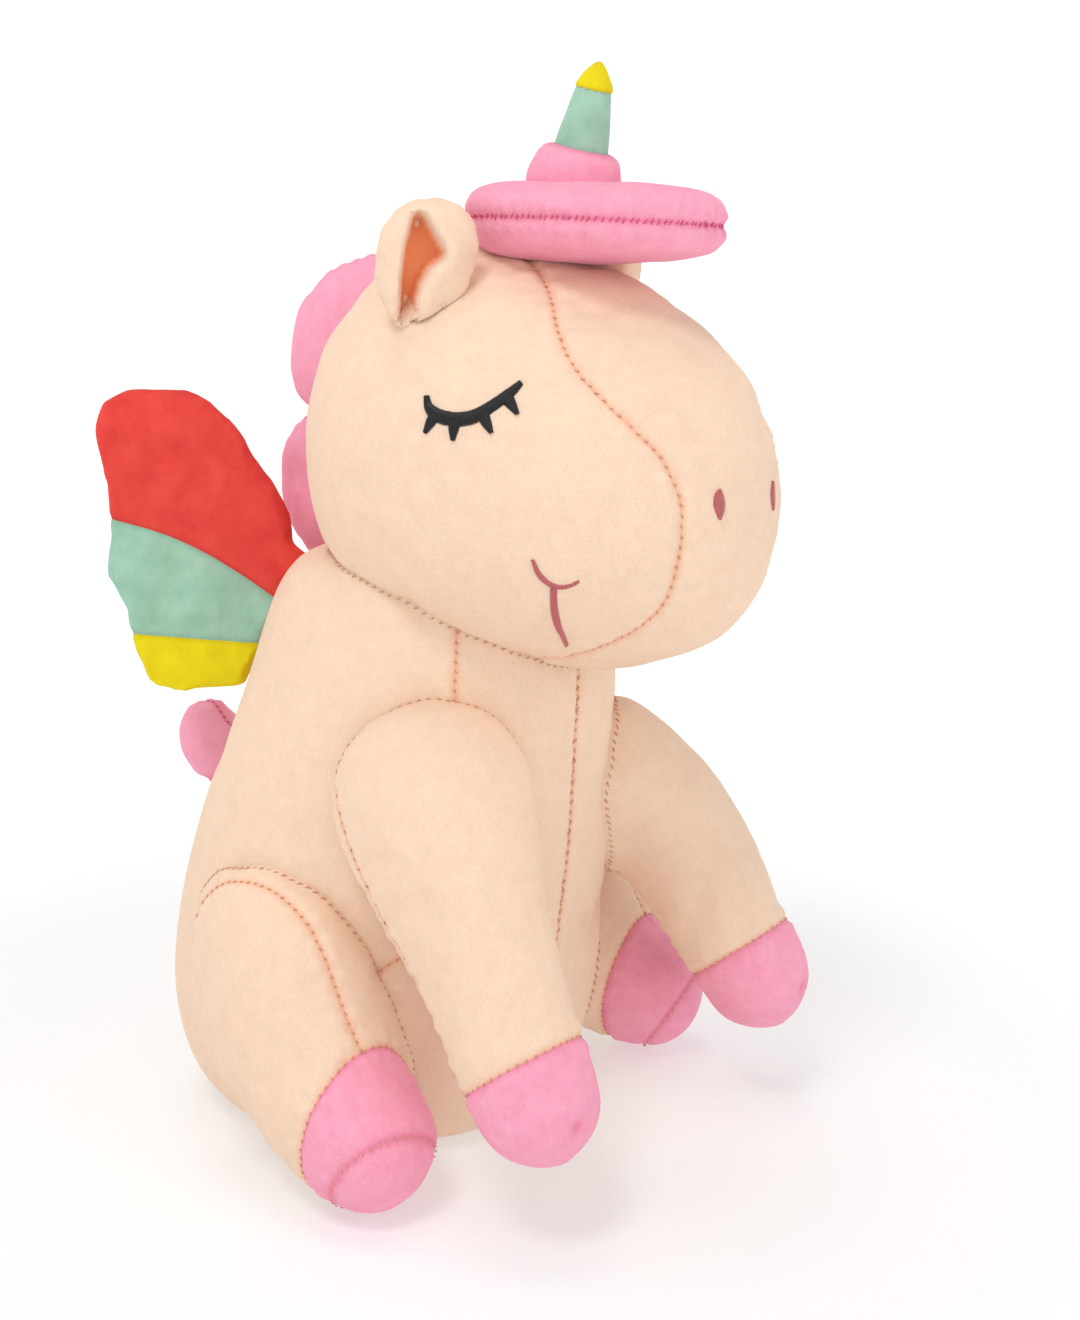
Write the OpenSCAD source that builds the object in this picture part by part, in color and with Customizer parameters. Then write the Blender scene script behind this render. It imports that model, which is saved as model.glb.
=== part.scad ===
// Seated plush unicorn, in millimetres.
// +Z is up, the face looks along -Y and the toy's own right side is -X.
// The origin is the centre of the flat seat that the toy rests on.

/* [Fabric and clearances] */
// Thickness of the velour covers
cover_t = 1.5; // [1:0.1:2.5]
// Clearance between pieces that move past each other
gap = 0.6; // [0.4:0.1:1.2]
// Facets around the torso and the head
body_sides = 24; // [20:4:32]
// Facets around the arms, legs and smaller soft pieces
limb_sides = 16; // [16:4:24]

/* [Torso] */
// Height of the stuffed torso, whose top is inside the head
torso_h = 160; // [150:1:165]
// Half of the torso's greatest width
torso_half_w = 66; // [60:1:70]
// Half of the torso's greatest depth
torso_half_d = 64; // [58:1:68]
// Radius of the flat seat panel
seat_r = 44; // [38:1:46]

/* [Head] */
// Half of the head's greatest width
head_half_w = 57; // [52:1:60]
// Half of the head's greatest height
head_half_h = 58; // [54:1:61]
// Half of the width of the centre panel at the crown
gusset_crown = 12; // [8:1:16]
// Half of the width of the centre panel at the muzzle
gusset_muzzle = 27; // [20:1:32]

/* [Limbs] */
// Share of the arm's full girth
arm_girth = 1; // [0.85:0.01:1.05]
// Share of the leg's full girth
leg_girth = 1; // [0.85:0.01:1.05]

/* [Forelock and horn] */
// Half of the forelock's width
forelock_half_w = 30; // [24:1:34]
// Half of the forelock's thickness
forelock_half_t = 8.5; // [7:0.5:10]
// Radius of the horn's foot
horn_r = 14; // [11:0.5:15]
// Length of the horn from its pivot to the tip
horn_len = 31.5; // [28:0.5:36]
// Forward lean of the horn, in degrees
horn_tilt = 15; // [0:1:22]

/* [Wings] */
// Thickness of the padded wing
wing_t = 6; // [5:0.5:8]
// Direction of the right wing in plan, in degrees from +X
wing_heading = 128; // [115:1:140]

/* [Hidden] */

cream = "#fadcc3";
pink = "#f596b4";
coral = "#f05a55";
mint = "#96cdb9";
yellow = "#ebe114";
black = "#1c1c1c";
rose = "#c8646e";
filling = "#f8f6f0";

right = -1;
left = 1;
X = [1, 0, 0];
Y = [0, 1, 0];
Z = [0, 0, 1];
// Rows in each span between two stations, on a visible surface
span_rows = 2;
// Facets around the forms that only cut a clearance, and what their flat sides take off
clear_sides = 20;
clear_extra = 1;
// Edge of the blocks that cut pieces apart
far = 1200;

// Stations of the torso: share of the height, centre y, shares of the half width and depth
torso_rows = [
    for (s = [
        [0, 4, 0.67, 0.69], [0.02, 4, 0.8, 0.82], [0.09, 6, 0.92, 0.92],
        [0.22, 6, 0.99, 0.99], [0.38, 3, 0.99, 0.97], [0.56, -4, 0.94, 0.95],
        [0.72, -10, 0.87, 0.88], [0.86, -16, 0.79, 0.81], [0.95, -20, 0.72, 0.75],
        [1, -23, 0.6, 0.62]
    ])
        [0, s[1], s[0]*torso_h, s[2]*torso_half_w, s[3]*torso_half_d]
];

// Stations of the head: y, centre z, shares of the half width and height
head_rows = [
    for (s = [
        [11, 197, 0.04, 0.04], [8, 198, 0.36, 0.4], [-1, 199, 0.64, 0.74],
        [-16, 200, 0.88, 0.93], [-36, 200, 0.99, 1], [-56, 198, 1, 0.99],
        [-76, 194, 0.94, 0.91], [-94, 191, 0.82, 0.78], [-108, 188, 0.63, 0.63],
        [-117, 187, 0.37, 0.4], [-119.5, 187, 0.04, 0.04]
    ])
        [0, s[0], s[1], s[2]*head_half_w, s[3]*head_half_h]
];

// Stations of the right arm: centre, half width, half height
arm_rows = [
    for (s = [
        [-30, -36, 113, 25, 26], [-39, -46, 110, 28, 29], [-46, -57, 98, 26, 26.5],
        [-50, -69, 79, 20.5, 21.5], [-53, -82, 58, 18, 18.5], [-55, -92, 42, 17.5, 17.5],
        [-56, -98, 31, 14, 14.5], [-56.5, -101.5, 24, 2, 2]
    ])
        [s[0], s[1], s[2], s[3]*arm_girth, s[4]*arm_girth]
];
arm_up = [0, -1, 0.3];
// The arm turns about the line that leaves the shoulder at right angles
shoulder = [-40, -45, 109];
shoulder_axis = [-0.7, -0.7, 0];
arm_forward = 25;
arm_back = 12;

// Stations of the right leg: centre, half width, half height
leg_rows = [
    for (s = [
        [-44, 26, 49, 15, 18], [-47, 15, 49, 23, 32], [-51, 1, 48, 26, 37],
        [-57, -13, 41, 25.5, 33], [-62, -26, 31, 23, 27], [-66, -38, 24, 20.5, 22.5],
        [-68, -49, 20.5, 18.8, 20],
        [-69, -60, 19.5, 14, 14.5], [-69.5, -65, 19, 2, 2]
    ])
        [s[0], s[1], s[2], s[3]*leg_girth, s[4]*leg_girth]
];
hip = [-49, -2, 48];
hip_axis = [-0.93, -0.37, 0];
leg_raise = 20;

// Stations of the right ear: centre, half width, half thickness
ear_rows = [
    [-37, -43, 232, 8, 5.5], [-40, -45, 240, 13, 6.5], [-43, -47, 250, 14.5, 7],
    [-44, -48, 259, 12, 6], [-45, -49, 265, 7, 3.5], [-45, -49, 267.5, 1, 1]
];
ear_up = [-0.55, -0.83, 0];
ear_flop = 15;
// Room past the head for the sweep of a piece's root: its half size times the sine of its travel
ear_root_r = 6;
ear_travel = ear_root_r*sin(ear_flop);

// Stations of the two lobes of the mane: y, z, half width, half depth
mane_upper_rows = [
    for (s = [
        [18, 208.5, 9, 13], [17, 213, 13, 19], [14, 224, 15, 23],
        [10, 237, 14, 25], [5, 248, 10, 20], [2, 254, 2, 4]
    ])
        [0, s[0], s[1], s[2], s[3]]
];
mane_lower_rows = [
    for (s = [
        [30, 163, 2, 3], [27, 168, 8, 10], [25, 178, 11, 18],
        [24, 189, 10.5, 20], [22, 200, 11, 19], [20, 207.5, 8, 12]
    ])
        [0, s[0], s[1], s[2], s[3]]
];
mane_sway = 8;
mane_root_r = 14;
mane_travel = mane_root_r*sin(mane_sway);

// Stations of the forelock: y, centre z, shares of the half width and thickness
forelock_rows = [
    for (s = [
        [-38.5, 263, 0.06, 0.2], [-41, 263, 0.5, 0.7], [-54, 262.5, 0.93, 1],
        [-72, 261.5, 1, 1], [-90, 260, 0.92, 1], [-102, 259, 0.5, 0.75], [-104.5, 259, 0.06, 0.2]
    ])
        [0, s[0], s[1], s[2]*forelock_half_w, s[3]*forelock_half_t]
];
forelock_lift = 12;
forelock_root_r = 8;
forelock_travel = forelock_root_r*sin(forelock_lift);

horn_pivot = [0, -64, 269];
// Heights of the bands' joins above the pivot
horn_middle_z = 10;
horn_tip_z = 26.5;

neck_pivot = [0, -26, 166];
neck_r = 15;
neck_ball_r = 20;
neck_foot_z = 122;
head_nod = 6;

wing_root = [-22, 28, 150];
wing_flap = 8;
// Outline of the right wing: distance out from the root point, height
wing_outline = [
    [-24, 146], [-24, 160], [-12, 163], [-1, 170], [3, 188], [9, 203], [17, 211], [24, 214.5], [41, 214.5],
    [48, 211], [51, 203], [49, 190], [47.5, 176], [49.5, 161], [44.5, 150], [41.5, 136],
    [38, 128], [31, 125.5], [8, 127], [2, 136], [-8, 140]
];
// Joins between the coloured bands: height at the root point, and slope
wing_low_join = [140, 0.08];
wing_high_join = [154, 0.48];
below_wing = [0, 0];
above_wing = [300, 0];
wing_hinge = [-16, 20, 150];
wing_hinge_axis = [-0.1, 0.5, -0.86];

tail_rows = [
    [0, 54, 82, 6, 6], [0, 62, 86, 9, 9], [0, 72, 92, 11.5, 11], [0, 81, 99, 12, 12],
    [0, 82, 107, 9, 9], [0, 80, 113, 1, 1]
];
tail_root = [0, 56, 84];
tail_wag = 15;

// Point at share t of the way from b to c on a smooth curve through a, b, c and d
function smooth(a, b, c, d, t) =
    0.5*(2*b + (c - a)*t + (2*a - 5*b + 4*c - d)*t*t + (3*b - a - 3*c + d)*t*t*t);

// The stations with smooth rows between them
function smooth_rows(p, steps = span_rows) = let (n = len(p) - 1) concat(
    [
        for (i = [0 : n - 1], k = [0 : steps - 1])
            let (
                before = i == 0 ? 2*p[0] - p[1] : p[i - 1],
                after = i == n - 1 ? 2*p[n] - p[n - 1] : p[i + 2]
            )
                smooth(before, p[i], p[i + 1], after, k/steps)
    ],
    [p[n]]
);

function centre_of(row) = [row[0], row[1], row[2]];
function unit(v) = v/norm(v);

// Stations moved inwards by t on every side, or outwards where t is negative
function inset(rows, t) =
    let (
        first = centre_of(rows[0]),
        last = centre_of(rows[len(rows) - 1]),
        middle = (first + last)/2,
        share = 1 - 2*t/norm(last - first)
    )
        [
            for (r = rows)
                let (c = middle + share*(centre_of(r) - middle))
                    [c[0], c[1], c[2], max(r[3] - t, 0.4), max(r[4] - t, 0.4)]
        ];

// One ring of points: centre, the two directions across it and the half size along each
function ring(c, u, w, a, b, sides) = [
    for (i = [0 : sides - 1])
        c + a*cos(360*i/sides)*u + b*sin(360*i/sides)*w
];

// Rings of a form whose sections are all square to one direction
function level_rings(rows, u, w, sides, steps = span_rows) = [
    for (r = smooth_rows(rows, steps))
        ring(centre_of(r), u, w, max(r[3], 0.3), max(r[4], 0.3), sides)
];

// Rings of a tube that follows its own path
function path_rings(rows, up, sides, steps = span_rows) =
    let (p = smooth_rows(rows, steps), n = len(p) - 1)
        [
            for (i = [0 : n])
                let (
                    along = unit(centre_of(p[min(i + 1, n)]) - centre_of(p[max(i - 1, 0)])),
                    u = unit(cross(up, along)),
                    w = cross(along, u)
                )
                    ring(centre_of(p[i]), u, w, max(p[i][3], 0.3), max(p[i][4], 0.3), sides)
        ];

// The hidden inside of a cover is plainer than its outside
function rows_in_span(t) = t > 0 ? 1 : span_rows;

// Closed solid through a list of rings
module skin(rings) {
    n = len(rings[0]);
    m = len(rings);
    polyhedron(
        points = [for (r = rings) for (p = r) p],
        faces = concat(
            [[for (i = [0 : n - 1]) i]],
            [[for (i = [n - 1 : -1 : 0]) (m - 1)*n + i]],
            [
                for (j = [0 : m - 2], i = [0 : n - 1])
                    [j*n + i, (j + 1)*n + i, (j + 1)*n + (i + 1) % n, j*n + (i + 1) % n]
            ]
        )
    );
}

// Everything on the side of a plane that its normal points to
module beyond(point, normal) {
    n = unit(normal);
    translate(point)
        rotate([0, acos(n[2]), atan2(n[1], n[0])])
            translate([0, 0, far/2])
                cube(far, center = true);
}

// Children turned about a line through a point
module about(point, angle, axis) {
    translate(point)
        rotate(angle, axis)
            translate(-point)
                children();
}

// Keeps a boolean of facetted forms as one mesh
module one_mesh() {
    resize([0, 0, 0])
        children();
}

// Children as they are on the right, and mirrored on the left
module on_side(side) {
    mirror([side == left ? 1 : 0, 0, 0])
        children();
}

module torso_form(t = 0) {
    skin(level_rings(inset(torso_rows, t), X, Y, body_sides, rows_in_span(t)));
}

// Plainer torso and head that stand off the true ones, for cutting a clearance
module torso_clear() {
    skin(level_rings(inset(torso_rows, -gap - clear_extra), X, Y, clear_sides, 1));
}

module head_clear(travel) {
    skin(level_rings(inset(head_rows, -gap - clear_extra - travel), X, Z, clear_sides, 1));
}

module head_form(t = 0) {
    skin(level_rings(inset(head_rows, t), X, Z, body_sides, rows_in_span(t)));
}

module arm_form(t = 0) {
    skin(path_rings(inset(arm_rows, t), arm_up, limb_sides, rows_in_span(t)));
}

module leg_form(t = 0) {
    skin(path_rings(inset(leg_rows, t), Z, limb_sides, rows_in_span(t)));
}

module ear_form(t = 0) {
    skin(path_rings(inset(ear_rows, t), ear_up, limb_sides, rows_in_span(t)));
}

module mane_upper_form(t = 0) {
    skin(level_rings(inset(mane_upper_rows, t), X, Y, limb_sides, rows_in_span(t)));
}

module mane_lower_form(t = 0) {
    skin(level_rings(inset(mane_lower_rows, t), X, Y, limb_sides, rows_in_span(t)));
}

module forelock_form(t = 0) {
    skin(level_rings(inset(forelock_rows, t), X, Z, limb_sides, rows_in_span(t)));
}

module tail_form(t = 0) {
    skin(path_rings(inset(tail_rows, t), Y, limb_sides, rows_in_span(t)));
}

// What the torso's covers and filling leave free for the neck plug
module neck_bore() {
    translate([neck_pivot[0], neck_pivot[1], neck_foot_z - gap])
        cylinder(r = neck_r + gap, h = far, $fn = 48);
    translate(neck_pivot)
        sphere(r = neck_ball_r + gap, $fn = 32);
}

module torso_cover() {
    difference() {
        torso_form();
        torso_form(cover_t);
        neck_bore();
        translate([0, torso_rows[0][1], -1])
            cylinder(r = seat_r + seat_play, h = cover_t + 2, $fn = 72);
    }
}

// Side seam between the front and the back panels of the torso
side_seam_y = -20;
// Play around the seat panel, so that its edge only touches the covers
seat_play = 0.1;

module torso_panel(side, front) {
    color(cream)
        one_mesh()
            intersection() {
                torso_cover();
                beyond([0, 0, 0], [side, 0, 0]);
                beyond([0, side_seam_y, 0], [0, front, 0]);
            }
}

module torso_seat() {
    color(cream)
        translate([0, torso_rows[0][1], 0])
            cylinder(r = seat_r, h = cover_t, $fn = 72);
}

module torso_fill() {
    color(filling)
        one_mesh()
            difference() {
                torso_form(cover_t);
                neck_bore();
                translate([0, 0, cover_t - far/2])
                    cube(far, center = true);
            }
}

// Plug of firm filling that carries the head: it turns in the torso and rocks in the head
module neck_fill() {
    color(filling)
        translate([neck_pivot[0], neck_pivot[1], 0]) {
            translate([0, 0, neck_foot_z])
                cylinder(r = neck_r, h = neck_pivot[2] - neck_foot_z, $fn = 48);
            translate([0, 0, neck_pivot[2]])
                sphere(r = neck_ball_r, $fn = 48);
        }
}

// Space that the torso and the neck take up under the head as it nods
module neck_sweep() {
    for (a = [-head_nod, head_nod])
        about(neck_pivot, a, X)
            torso_clear();
    translate(neck_pivot)
        sphere(r = neck_ball_r + gap, $fn = 24);
}

// Plan of the centre panel, which runs from the back of the head to the muzzle
module gusset_prism() {
    translate([0, 0, -1])
        linear_extrude(far)
            polygon([
                [-gusset_crown, 60], [-gusset_crown, -60], [-gusset_muzzle, -116],
                [-gusset_muzzle, -160], [gusset_muzzle, -160], [gusset_muzzle, -116],
                [gusset_crown, -60], [gusset_crown, 60]
            ]);
}

module head_cover() {
    difference() {
        head_form();
        head_form(cover_t);
        neck_sweep();
    }
}

module head_side(side) {
    color(cream)
        one_mesh()
            difference() {
                intersection() {
                    head_cover();
                    beyond([0, 0, 0], [side, 0, 0]);
                }
                gusset_prism();
            }
}

module head_gusset() {
    color(cream)
        one_mesh()
            intersection() {
                head_cover();
                gusset_prism();
            }
}

module head_fill() {
    color(filling)
        one_mesh()
            difference() {
                head_form(cover_t);
                neck_sweep();
            }
}

// Where the head's surface is at a given y and z, on the right
head_table = smooth_rows(head_rows);
function head_value(y, column) = lookup(y, [for (r = head_table) [r[1], r[column]]]);
function head_point(y, z) =
    let (rise = (z - head_value(y, 2))/head_value(y, 4))
        [-head_value(y, 3)*sqrt(max(0, 1 - rise*rise)), y, z];

// Satin-stitched line that lies on the right side of the head
thread_r = 0.8;
thread_up = [0.3, 1, 0.9];
module stitched_line(points) {
    rows = [for (p = points) let (s = head_point(p[0], p[1])) concat(s, [thread_r, thread_r])];
    skin(path_rings(rows, thread_up, 6, 1));
}

// Embroidery on one side of the head, without what would be inside the covers
module on_head(side) {
    difference() {
        on_side(side)
            children();
        head_form();
    }
}

// Closed eye, as y and z on the side of the head: the lid's sagging arc and the lashes below it
lid_start = [-57.5, 216];
lid_length = 23;
lid_rise = 3.5;
lid_sag = 26;
function lid_point(t) =
    lid_start + [-lid_length*t, lid_rise*t - lid_sag*t*(1 - t)];
// Lashes: share of the way along the lid, and how far the tip leans back
lashes = [[0.16, 1.7], [0.41, -0.2], [0.71, -3.1], [0.91, -3]];
lash_drop = 4;
module eyelashes(side) {
    color(black)
        one_mesh()
            on_head(side) {
                stitched_line([for (k = [0 : 8]) lid_point(k/8)]);
                for (lash = lashes)
                    stitched_line([
                        for (t = [0, 0.5, 1])
                            lid_point(lash[0]) + t*[lash[1], -lash_drop]
                    ]);
            }
}

// Smile and the line under it, as y and z on the side of the head
smile = [[-88, 177], [-88.6, 173.5], [-90.3, 171.4], [-92.5, 170.8], [-95, 171.2], [-97.2, 172.3]];
chin_line = [[-91.3, 170.6], [-89.6, 166], [-87.4, 160], [-84.8, 154]];
module mouth(side) {
    color(rose)
        one_mesh()
            on_head(side) {
                stitched_line(smile);
                stitched_line(chin_line);
            }
}

nostril_centre = [-12, -117.8, 190];
nostril_r = 2;
module nostril(side) {
    color(rose)
        one_mesh()
            on_head(side)
                translate(nostril_centre)
                    sphere(r = nostril_r, $fn = 16);
}

// The upper lobe sits on the head, and the lower one keeps clear of it as it sways
module mane_upper_cover() {
    color(pink)
        one_mesh()
            difference() {
                mane_upper_form();
                mane_upper_form(cover_t);
                head_form();
            }
}

module mane_upper_fill() {
    color(filling)
        one_mesh()
            difference() {
                mane_upper_form(cover_t);
                head_form();
            }
}

module mane_lower_cover() {
    color(pink)
        one_mesh()
            difference() {
                mane_lower_form();
                mane_lower_form(cover_t);
                head_clear(mane_travel);
            }
}

module mane_lower_fill() {
    color(filling)
        one_mesh()
            difference() {
                mane_lower_form(cover_t);
                head_clear(mane_travel);
            }
}

module ear_half(side, front) {
    color(cream)
        one_mesh()
            on_side(side)
                difference() {
                    intersection() {
                        ear_form();
                        beyond(centre_of(ear_rows[2]), front*ear_up);
                    }
                    head_clear(ear_travel);
                }
}

// Space that the head and the horn's root take up in the forelock
module forelock_sweep() {
    head_clear(forelock_travel);
    translate(horn_pivot)
        sphere(r = horn_r + gap, $fn = 16);
}

// The edge seam between the forelock's top and bottom panels
forelock_seam = [0, -72, 262];
forelock_seam_normal = [0, -0.045, 1];

module forelock_cover(half) {
    color(pink)
        one_mesh()
            intersection() {
                difference() {
                    forelock_form();
                    forelock_form(cover_t);
                    forelock_sweep();
                }
                beyond(forelock_seam, half*forelock_seam_normal);
            }
}

module forelock_fill() {
    color(filling)
        one_mesh()
            difference() {
                forelock_form(cover_t);
                forelock_sweep();
            }
}

// The horn's outer radius at a height above its pivot
horn_taper = 0.86;
function horn_radius(h) = horn_r*(1 - horn_taper*h/horn_len);

// Hollow band of the horn between two heights above its pivot
module horn_shell(low, high) {
    translate(horn_pivot)
        rotate([horn_tilt, 0, 0])
            rotate_extrude($fn = 48)
                polygon([
                    [horn_radius(low) - cover_t, low], [horn_radius(low), low],
                    [horn_radius(high), high], [horn_radius(high) - cover_t, high]
                ]);
}

module horn_base_band() {
    color(pink)
        horn_shell(0, horn_middle_z);
}

module horn_middle_band() {
    color(mint)
        horn_shell(horn_middle_z, horn_tip_z);
}

module horn_tip_band() {
    color(yellow)
        translate(horn_pivot)
            rotate([horn_tilt, 0, 0])
                translate([0, 0, horn_tip_z])
                    cylinder(
                        r1 = horn_radius(horn_tip_z), r2 = horn_radius(horn_len),
                        h = horn_len - horn_tip_z, $fn = 48
                    );
}

module horn_fill() {
    color(filling)
        translate(horn_pivot)
            rotate([horn_tilt, 0, 0]) {
                cylinder(
                    r1 = horn_r - cover_t, r2 = horn_radius(horn_tip_z) - cover_t,
                    h = horn_tip_z, $fn = 48
                );
                difference() {
                    sphere(r = horn_r - cover_t, $fn = 48);
                    cylinder(r = 2*horn_r, h = 2*horn_r, $fn = 48);
                }
            }
}

// Space that the torso takes up behind the right arm over its travel
module arm_sweep() {
    for (a = [-arm_forward, -arm_back/2, arm_back])
        about(shoulder, a, shoulder_axis)
            torso_clear();
}

arm_cuff = [-54.5, -88.5, 48];
arm_cuff_normal = [-0.05, -0.6, -0.8];
// The seam between the arm's outer panel and the narrow inner one behind it
arm_seam = [-51.7, -56.4, 71];
arm_seam_normal = [-0.12, 0.84, -0.53];

module arm_cover(side) {
    on_side(side)
        difference() {
            arm_form();
            arm_form(cover_t);
            arm_sweep();
        }
}

module arm_panel(side, out) {
    color(cream)
        one_mesh()
            difference() {
                arm_cover(side);
                on_side(side) {
                    beyond(arm_cuff, arm_cuff_normal);
                    beyond(arm_seam, out*arm_seam_normal);
                }
            }
}

module arm_hoof(side) {
    color(pink)
        one_mesh()
            intersection() {
                arm_cover(side);
                on_side(side)
                    beyond(arm_cuff, arm_cuff_normal);
            }
}

module arm_fill(side) {
    color(filling)
        one_mesh()
            on_side(side)
                difference() {
                    arm_form(cover_t);
                    arm_sweep();
                }
}

// Space that the torso takes up beside the right leg over its travel
module leg_sweep() {
    for (a = [-leg_raise, -leg_raise/2, 0])
        about(hip, a, hip_axis)
            torso_clear();
}

leg_cuff = [-68, -40.5, 21];
leg_cuff_normal = [-0.12, -0.95, -0.2];
// The seam between the leg's outer and inner panels
leg_seam = [-63, -21, 28];
leg_seam_normal = [1, -0.4, 0];

module leg_cover(side) {
    on_side(side)
        difference() {
            leg_form();
            leg_form(cover_t);
            leg_sweep();
        }
}

module leg_panel(side, out) {
    color(cream)
        one_mesh()
            difference() {
                leg_cover(side);
                on_side(side) {
                    beyond(leg_cuff, leg_cuff_normal);
                    beyond(leg_seam, out*leg_seam_normal);
                }
            }
}

module leg_hoof(side) {
    color(pink)
        one_mesh()
            intersection() {
                leg_cover(side);
                on_side(side)
                    beyond(leg_cuff, leg_cuff_normal);
            }
}

module leg_fill(side) {
    color(filling)
        one_mesh()
            on_side(side)
                difference() {
                    leg_form(cover_t);
                    leg_sweep();
                }
}

// Places a flat drawing of the right wing on its root point, upright
module wing_place(side) {
    on_side(side)
        translate([wing_root[0], wing_root[1], 0])
            rotate([90, 0, wing_heading])
                children();
}

wing_corner_r = 3;
module wing_plate(t, inward) {
    linear_extrude(t, center = true)
        offset(r = wing_corner_r)
            offset(delta = -wing_corner_r - inward)
                polygon(wing_outline);
}

// Space that the torso and the head take up beside the right wing over its travel
module wing_sweep() {
    for (a = [-wing_flap : wing_flap : wing_flap])
        about(wing_hinge, a, wing_hinge_axis) {
            torso_clear();
            head_clear(0);
        }
}

// Part of the wing's outline between two joins
module wing_zone(low, high) {
    reach = 60;
    linear_extrude(4*wing_t, center = true)
        polygon([
            [-reach, low[0] - reach*low[1]], [reach, low[0] + reach*low[1]],
            [reach, high[0] + reach*high[1]], [-reach, high[0] - reach*high[1]]
        ]);
}

module wing_band(side, low, high, tint) {
    color(tint)
        one_mesh()
            difference() {
                wing_place(side)
                    intersection() {
                        difference() {
                            wing_plate(wing_t, 0);
                            wing_plate(wing_t - 2*cover_t, cover_t);
                        }
                        wing_zone(low, high);
                    }
                on_side(side)
                    wing_sweep();
            }
}

module wing_padding(side) {
    color(filling)
        one_mesh()
            difference() {
                wing_place(side)
                    wing_plate(wing_t - 2*cover_t, cover_t);
                on_side(side)
                    wing_sweep();
            }
}

module tail_sweep() {
    for (a = [-tail_wag, 0, tail_wag])
        about(tail_root, a, Z)
            torso_clear();
}

module tail_cover() {
    color(pink)
        one_mesh()
            difference() {
                tail_form();
                tail_form(cover_t);
                tail_sweep();
            }
}

module tail_fill() {
    color(filling)
        one_mesh()
            difference() {
                tail_form(cover_t);
                tail_sweep();
            }
}

torso_panel(right, -1);  // torso_front_right
torso_panel(left, -1);  // torso_front_left
torso_panel(right, 1);  // torso_back_right
torso_panel(left, 1);  // torso_back_left
torso_seat();
torso_fill();
neck_fill();
head_side(right);  // head_side_right
head_side(left);  // head_side_left
head_gusset();
head_fill();
eyelashes(right);  // eyelashes_right
eyelashes(left);  // eyelashes_left
mouth(right);  // mouth_right
mouth(left);  // mouth_left
nostril(right);  // nostril_right
nostril(left);  // nostril_left
mane_upper_cover();
mane_upper_fill();
mane_lower_cover();
mane_lower_fill();
ear_half(right, -1);  // ear_right_outer
ear_half(right, 1);  // ear_right_lining
ear_half(left, -1);  // ear_left_outer
ear_half(left, 1);  // ear_left_lining
forelock_cover(1);  // forelock_top
forelock_cover(-1);  // forelock_bottom
forelock_fill();
horn_base_band();
horn_middle_band();
horn_tip_band();
horn_fill();
arm_panel(right, 1);  // arm_right_outer
arm_panel(right, -1);  // arm_right_inner
arm_hoof(right);  // arm_right_hoof
arm_fill(right);  // arm_right_fill
arm_panel(left, 1);  // arm_left_outer
arm_panel(left, -1);  // arm_left_inner
arm_hoof(left);  // arm_left_hoof
arm_fill(left);  // arm_left_fill
leg_panel(right, 1);  // leg_right_outer
leg_panel(right, -1);  // leg_right_inner
leg_hoof(right);  // leg_right_hoof
leg_fill(right);  // leg_right_fill
leg_panel(left, 1);  // leg_left_outer
leg_panel(left, -1);  // leg_left_inner
leg_hoof(left);  // leg_left_hoof
leg_fill(left);  // leg_left_fill
wing_band(right, wing_high_join, above_wing, coral);  // wing_right_upper_band
wing_band(right, wing_low_join, wing_high_join, mint);  // wing_right_middle_band
wing_band(right, below_wing, wing_low_join, yellow);  // wing_right_lower_band
wing_padding(right);  // wing_right_padding
wing_band(left, wing_high_join, above_wing, coral);  // wing_left_upper_band
wing_band(left, wing_low_join, wing_high_join, mint);  // wing_left_middle_band
wing_band(left, below_wing, wing_low_join, yellow);  // wing_left_lower_band
wing_padding(left);  // wing_left_padding
tail_cover();
tail_fill();
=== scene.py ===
import math

import bmesh
import bpy
import numpy as np
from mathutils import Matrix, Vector, noise
from mathutils.bvhtree import BVHTree
from mathutils.kdtree import KDTree


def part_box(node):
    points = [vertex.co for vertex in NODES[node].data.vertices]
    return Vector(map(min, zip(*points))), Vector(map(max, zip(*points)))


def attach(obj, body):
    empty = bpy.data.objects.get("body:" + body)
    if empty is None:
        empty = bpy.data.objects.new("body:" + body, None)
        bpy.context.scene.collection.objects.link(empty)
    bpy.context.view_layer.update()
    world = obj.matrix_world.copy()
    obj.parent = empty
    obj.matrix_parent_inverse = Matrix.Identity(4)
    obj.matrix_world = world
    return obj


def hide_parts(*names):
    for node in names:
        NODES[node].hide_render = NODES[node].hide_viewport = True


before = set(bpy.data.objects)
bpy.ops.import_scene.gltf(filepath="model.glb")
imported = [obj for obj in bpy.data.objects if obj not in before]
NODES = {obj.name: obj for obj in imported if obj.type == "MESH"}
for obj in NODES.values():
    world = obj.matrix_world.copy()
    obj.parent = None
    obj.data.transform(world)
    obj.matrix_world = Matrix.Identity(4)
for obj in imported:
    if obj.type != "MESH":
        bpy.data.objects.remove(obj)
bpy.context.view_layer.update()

# The visual model of the seated plush unicorn. Lengths are in millimetres until they reach Blender.
# The face looks along -Y, the toy's own right side is -X, and the origin is on the floor.
# Most skins are taken from CAD nodes, swelled with Cloth, shaped, then cut along their seams into panels.
# The ears and the horn are built from outlines, without Cloth.

SCENE = bpy.context.scene
MM = 0.001
PITCH = 2.6         # between seam stitches
PANEL_T = 1.2       # thickness of the fabric
SHADE_STRENGTH = 0.4         # painted shade: how far a seam turns to the deeper shade colour
LIMB_VOXEL = 2.4
CLOTH_FRAMES = 20
HELD_WITHIN = 3     # from a seam, in the cloth simulation
SEAM_STEP = 0.5     # between the points that a skin's distance from its seams is taken from
FLOOR_GAP = 0.8
RNG = np.random.default_rng(7)


# ---------------------------------------------------------------- mesh helpers
def link(ob):
    SCENE.collection.objects.link(ob)
    return ob


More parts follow.
